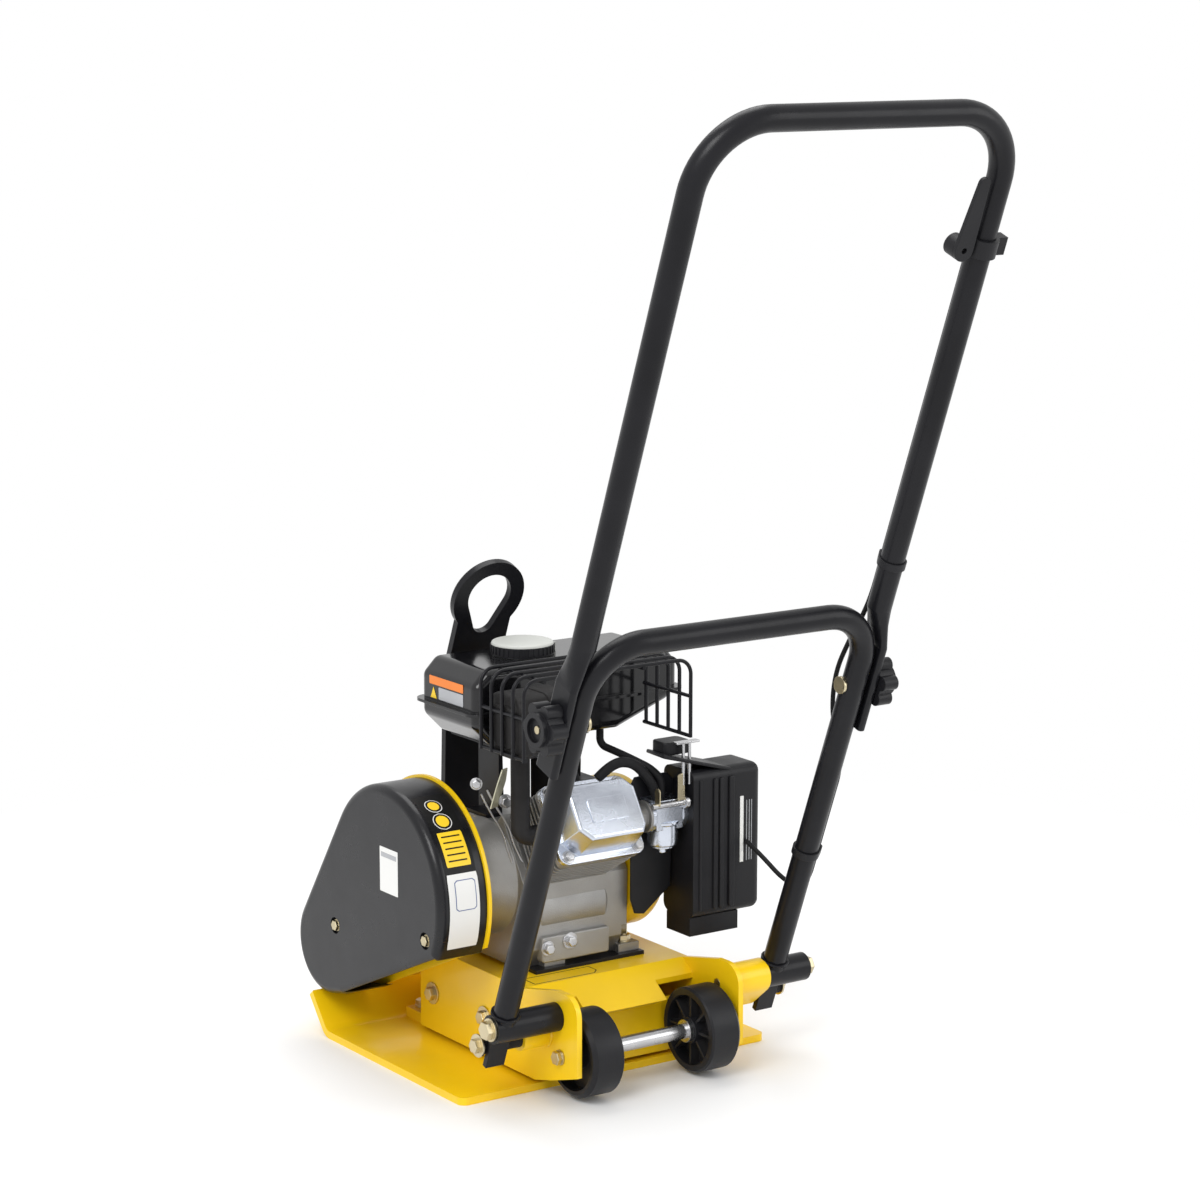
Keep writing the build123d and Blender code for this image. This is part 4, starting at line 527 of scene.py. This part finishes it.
guide_bm = bmesh.new()
guide_outline = [(54, 152), (66, 150), (100, 176), (103, 292), (96, 300), (54, 300), (49, 292), (49, 168)]
add_plate(guide_bm, guide_outline, (0, -90.0, 0), RIGHT, UP, 3.0)
soften(piece("air_guide", guide_bm, black_plastic, "machine"), 1.0, 2)
hose_path = [
    (4, -96, 306), (20, -100, 322), (44, -103, 320), (62, -104, 302), (72, -105, 284), (76, -105, 272),
]
hose = cable_piece("breather_hose", hose_path, 5.5, black_rubber)
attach(hose, "machine")

# ------------------------------------------------------------------ air filter: label, ridges, tray on top
flat_label("filter_label", rounded(4.6, 72, 0.5), (166.0, FILTER_REAR, 236.0), RIGHT, UP, label_white)
for index, x in enumerate((172.5, 176.0, 179.0)):
    flat_label(f"filter_label_lines_{index}", rounded(0.9, 66, 0.3), (x, FILTER_REAR, 234.0), RIGHT, UP,
               label_grey, thick=0.12)
ridge_bm = bmesh.new()
for x, width, depth in ((112, 3, 1.6), (131, 5, 2.2), (139, 5, 2.2), (152, 7, 2.6)):
    ridge = rounded(width, 142, min(width / 2 - 0.1, 2.4))
    add_plate(ridge_bm, ridge, (x, FILTER_REAR + 0.2, 225.0), RIGHT, UP, depth)
soften(piece("filter_ridges", ridge_bm, black_plastic, "machine"), 1.0, 3)
tray_bm = bmesh.new()
tray_outline = [(-48, -24), (42, -24), (52, 18), (-40, 20)]
add_plate(tray_bm, tray_outline, (112, -104, 312), (1, 0, -0.28), AHEAD, 4)
add_plate(tray_bm, rounded(34, 26, 6), (92, -104, 324), RIGHT, AHEAD, 14)
soften(piece("control_tray", tray_bm, black_plastic, "machine"), 1.5, 3)
post_bm = bmesh.new()
for x in (95, 103):
    add_lathe(post_bm, [(0, 0), (1.8, 0), (1.8, 46), (0, 46)], (x, -122, 292), UP, 16)
add_plate(post_bm, rounded(30, 9, 2), (99, -122, 337), RIGHT, AHEAD, 2)
soften(piece("control_posts", post_bm, steel, "machine"), 0.3)

# ------------------------------------------------------------------ control bracket and rods left of the tank
bracket_bm = bmesh.new()
bracket_outline = [(-9, -19), (5, -19), (9, 8), (6, 22), (-4, 22), (-7, 6)]
add_plate(bracket_bm, bracket_outline, (-95, -60, 301), (0.90, 0.43, 0), (0.30, 0, 1), 1.6)
soften(piece("control_bracket", bracket_bm, pale_zinc, "machine"), 0.4)
for name, path in (
    ("governor_rod",
     [(-104, -52, 300), (-98, -56, 284), (-84, -62, 262), (-78, -64, 236), (-66, -68, 214)]),
    ("governor_link",
     [(-110, -50, 296), (-102, -54, 276), (-90, -60, 256), (-84, -62, 230), (-74, -64, 204)]),
):
    rod_piece = cable_piece(name, path, ROD_R, steel)
    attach(rod_piece, "machine")
control_bolt_bm = bmesh.new()
hex_screw(control_bolt_bm, (-112, -44, 306), (-0.5, -0.85, 0.1), 9, 6, 6.5)
hex_screw(control_bolt_bm, (-88, -62, 288), (-0.3, -0.95, 0), 10, 6, 7.5)
hex_screw(control_bolt_bm, (-72, -66, 290), (0, -1, 0.1), 10, 6, 7.5)
soften(piece("control_bolts", control_bolt_bm, steel, "machine"), 0.3)

# ------------------------------------------------------------------ muffler: end stamping, seam, stay and its bolt
seam_bm = bmesh.new()
MUFFLER_Y, MUFFLER_Z = -107.0, 379.0
add_plate(seam_bm, rounded(64, 68, 17, 8), (-82.0, MUFFLER_Y, MUFFLER_Z), AHEAD, UP, 3)
add_plate(seam_bm, rounded(40, 44, 12, 8), (-119.5, MUFFLER_Y, MUFFLER_Z), AHEAD, UP, 2)
soften(piece("muffler_seam", seam_bm, muffler_black, "machine"), 1.0, 3)
shield_bm = bmesh.new()
add_plate(shield_bm, [(-9, 26), (9, 26), (14, 4), (10, -14), (1, -28), (-6, -20), (-13, -10), (-15, 6)],
          (-60.0, -141.0, 356.0), RIGHT, UP, 2.0)
soften(piece("muffler_stay", shield_bm, muffler_black, "machine"), 0.8, 2)
stay_bm = bmesh.new()
hex_screw(stay_bm, (-60, -143, 356), (0, -1, 0), 10, 5, 7.5)
soften(piece("muffler_stay_bolt", stay_bm, steel, "machine"), 0.3)

# ------------------------------------------------------------------ deck sticker outline and weld beads
outline_bm = bmesh.new()
edge = [(-86, -114), (-12, -114), (-5, -107), (-5, -92), (-86, -92)]
for k in range(len(edge)):
    (x0, y0), (x1, y1) = edge[k], edge[(k + 1) % len(edge)]
    run = Vector((x1 - x0, y1 - y0, 0))
    add_plate(outline_bm, [(0, -0.5), (run.length, -0.5), (run.length, 0.5), (0, 0.5)], (x0, y0, 104.0), run,
              Vector((-run.y, run.x, 0)), 0.15)
piece("deck_sticker_outline", outline_bm, label_black, "machine")


def weld_ring(name, centre, direction, radius, material, body):
    """Rippled weld bead round a joint."""
    bm = bmesh.new()
    steps = 72
    rings = []
    u = turn_to(direction)
    for k in range(steps):
        angle = 2 * pi * k / steps
        size = 1.6 + 0.35 * sin(7 * angle) + (0.3 if k % 2 else 0.0)
        ring = []
        for j in range(6):
            t = 2 * pi * j / 6
            reach = radius + size * cos(t)
            local = Vector((reach * cos(angle), reach * sin(angle), size * sin(t)))
            ring.append(bm.verts.new(Vector(centre) + (u @ local)))
        rings.append(ring)
    for k in range(steps):
        for j in range(6):
            a, b = rings[k], rings[(k + 1) % steps]
            bm.faces.new((a[j], b[j], b[(j + 1) % 6], a[(j + 1) % 6]))
    return piece(name, bm, material, body)


for side, name in ((-1, "left"), (1, "right")):
    weld_ring(f"handle_weld_{name}", (side * 169.0, -186.3, 106.0), (0, -0.3665, 0.9304), 13.6, black_gloss,
              "lower_handle")
weld_ring("boss_weld_left", (-104.4, -158.0, 68.0), (-1, 0, 0), 14.2, yellow, "machine")

# ------------------------------------------------------------------ wheels: hub rings
for side, name in ((-1, "left"), (1, "right")):
    ring_bm = bmesh.new()
    ring_profile = [(8.3, 0), (11.5, 0), (11.5, 1.2), (8.3, 1.2), (8.3, 0)]
    add_lathe(ring_bm, ring_profile, (side * 54.9, -188, 49), (-side, 0, 0), 36)
    piece(f"wheel_hub_ring_{name}", ring_bm, steel, f"wheel_{name}")

# ------------------------------------------------------------------ fan shroud louvres
louvre_bm = bmesh.new()
for k in range(10):
    angle = 2 * pi * k / 10
    add_plate(louvre_bm, rounded(3.5, 24, 1.6, 3), (100.0, -8 + 64 * cos(angle), 200 + 64 * sin(angle)),
              (0, -sin(angle), cos(angle)), (0, cos(angle), sin(angle)), 0.6)
piece("shroud_ribs", louvre_bm, yellow, "machine")

# ------------------------------------------------------------------ cables
LOWER = (-0.3665, 0.9304)
UPPER = (-0.35995, 0.93297)


def up_lower(distance, out=0.0):
    return (-180.0 + distance * LOWER[0] + out * LOWER[1], 90.0 + distance * LOWER[1] - out * LOWER[0])


def up_upper(distance, out=0.0):
    return (-308.5 + distance * UPPER[0] + out * UPPER[1], 424.7 + distance * UPPER[1] - out * UPPER[0])


CABLE_OFF = 15.3        # cable's centre from the tube's
CABLE_X = 184.3
CABLE_R = 2.5
engine_cable = cable_piece(
    "cable_from_engine",
    [(172.0, -130.5, 222.0), (173.5, -150.0, 214.0), (CABLE_X, -185.0, 186.0),
     (CABLE_X, *up_lower(108)), (CABLE_X, *up_lower(133))],
    CABLE_R, black_rubber)
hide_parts("throttle_cable_engine")
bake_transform(engine_cable)
fold_cable = cable_piece(
    "cable_over_fold",
    [(CABLE_X, *up_lower(238)), (CABLE_X, *up_lower(264)), (CABLE_X, -258.0, 378.0), (CABLE_X, -262.0, 425.0),
     (181.0, -290.0, 466.0), (178.0, *up_upper(84, CABLE_OFF)), (178.0, *up_upper(112, CABLE_OFF))],
    CABLE_R, black_rubber)
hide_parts("throttle_cable_fold")
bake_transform(fold_cable)
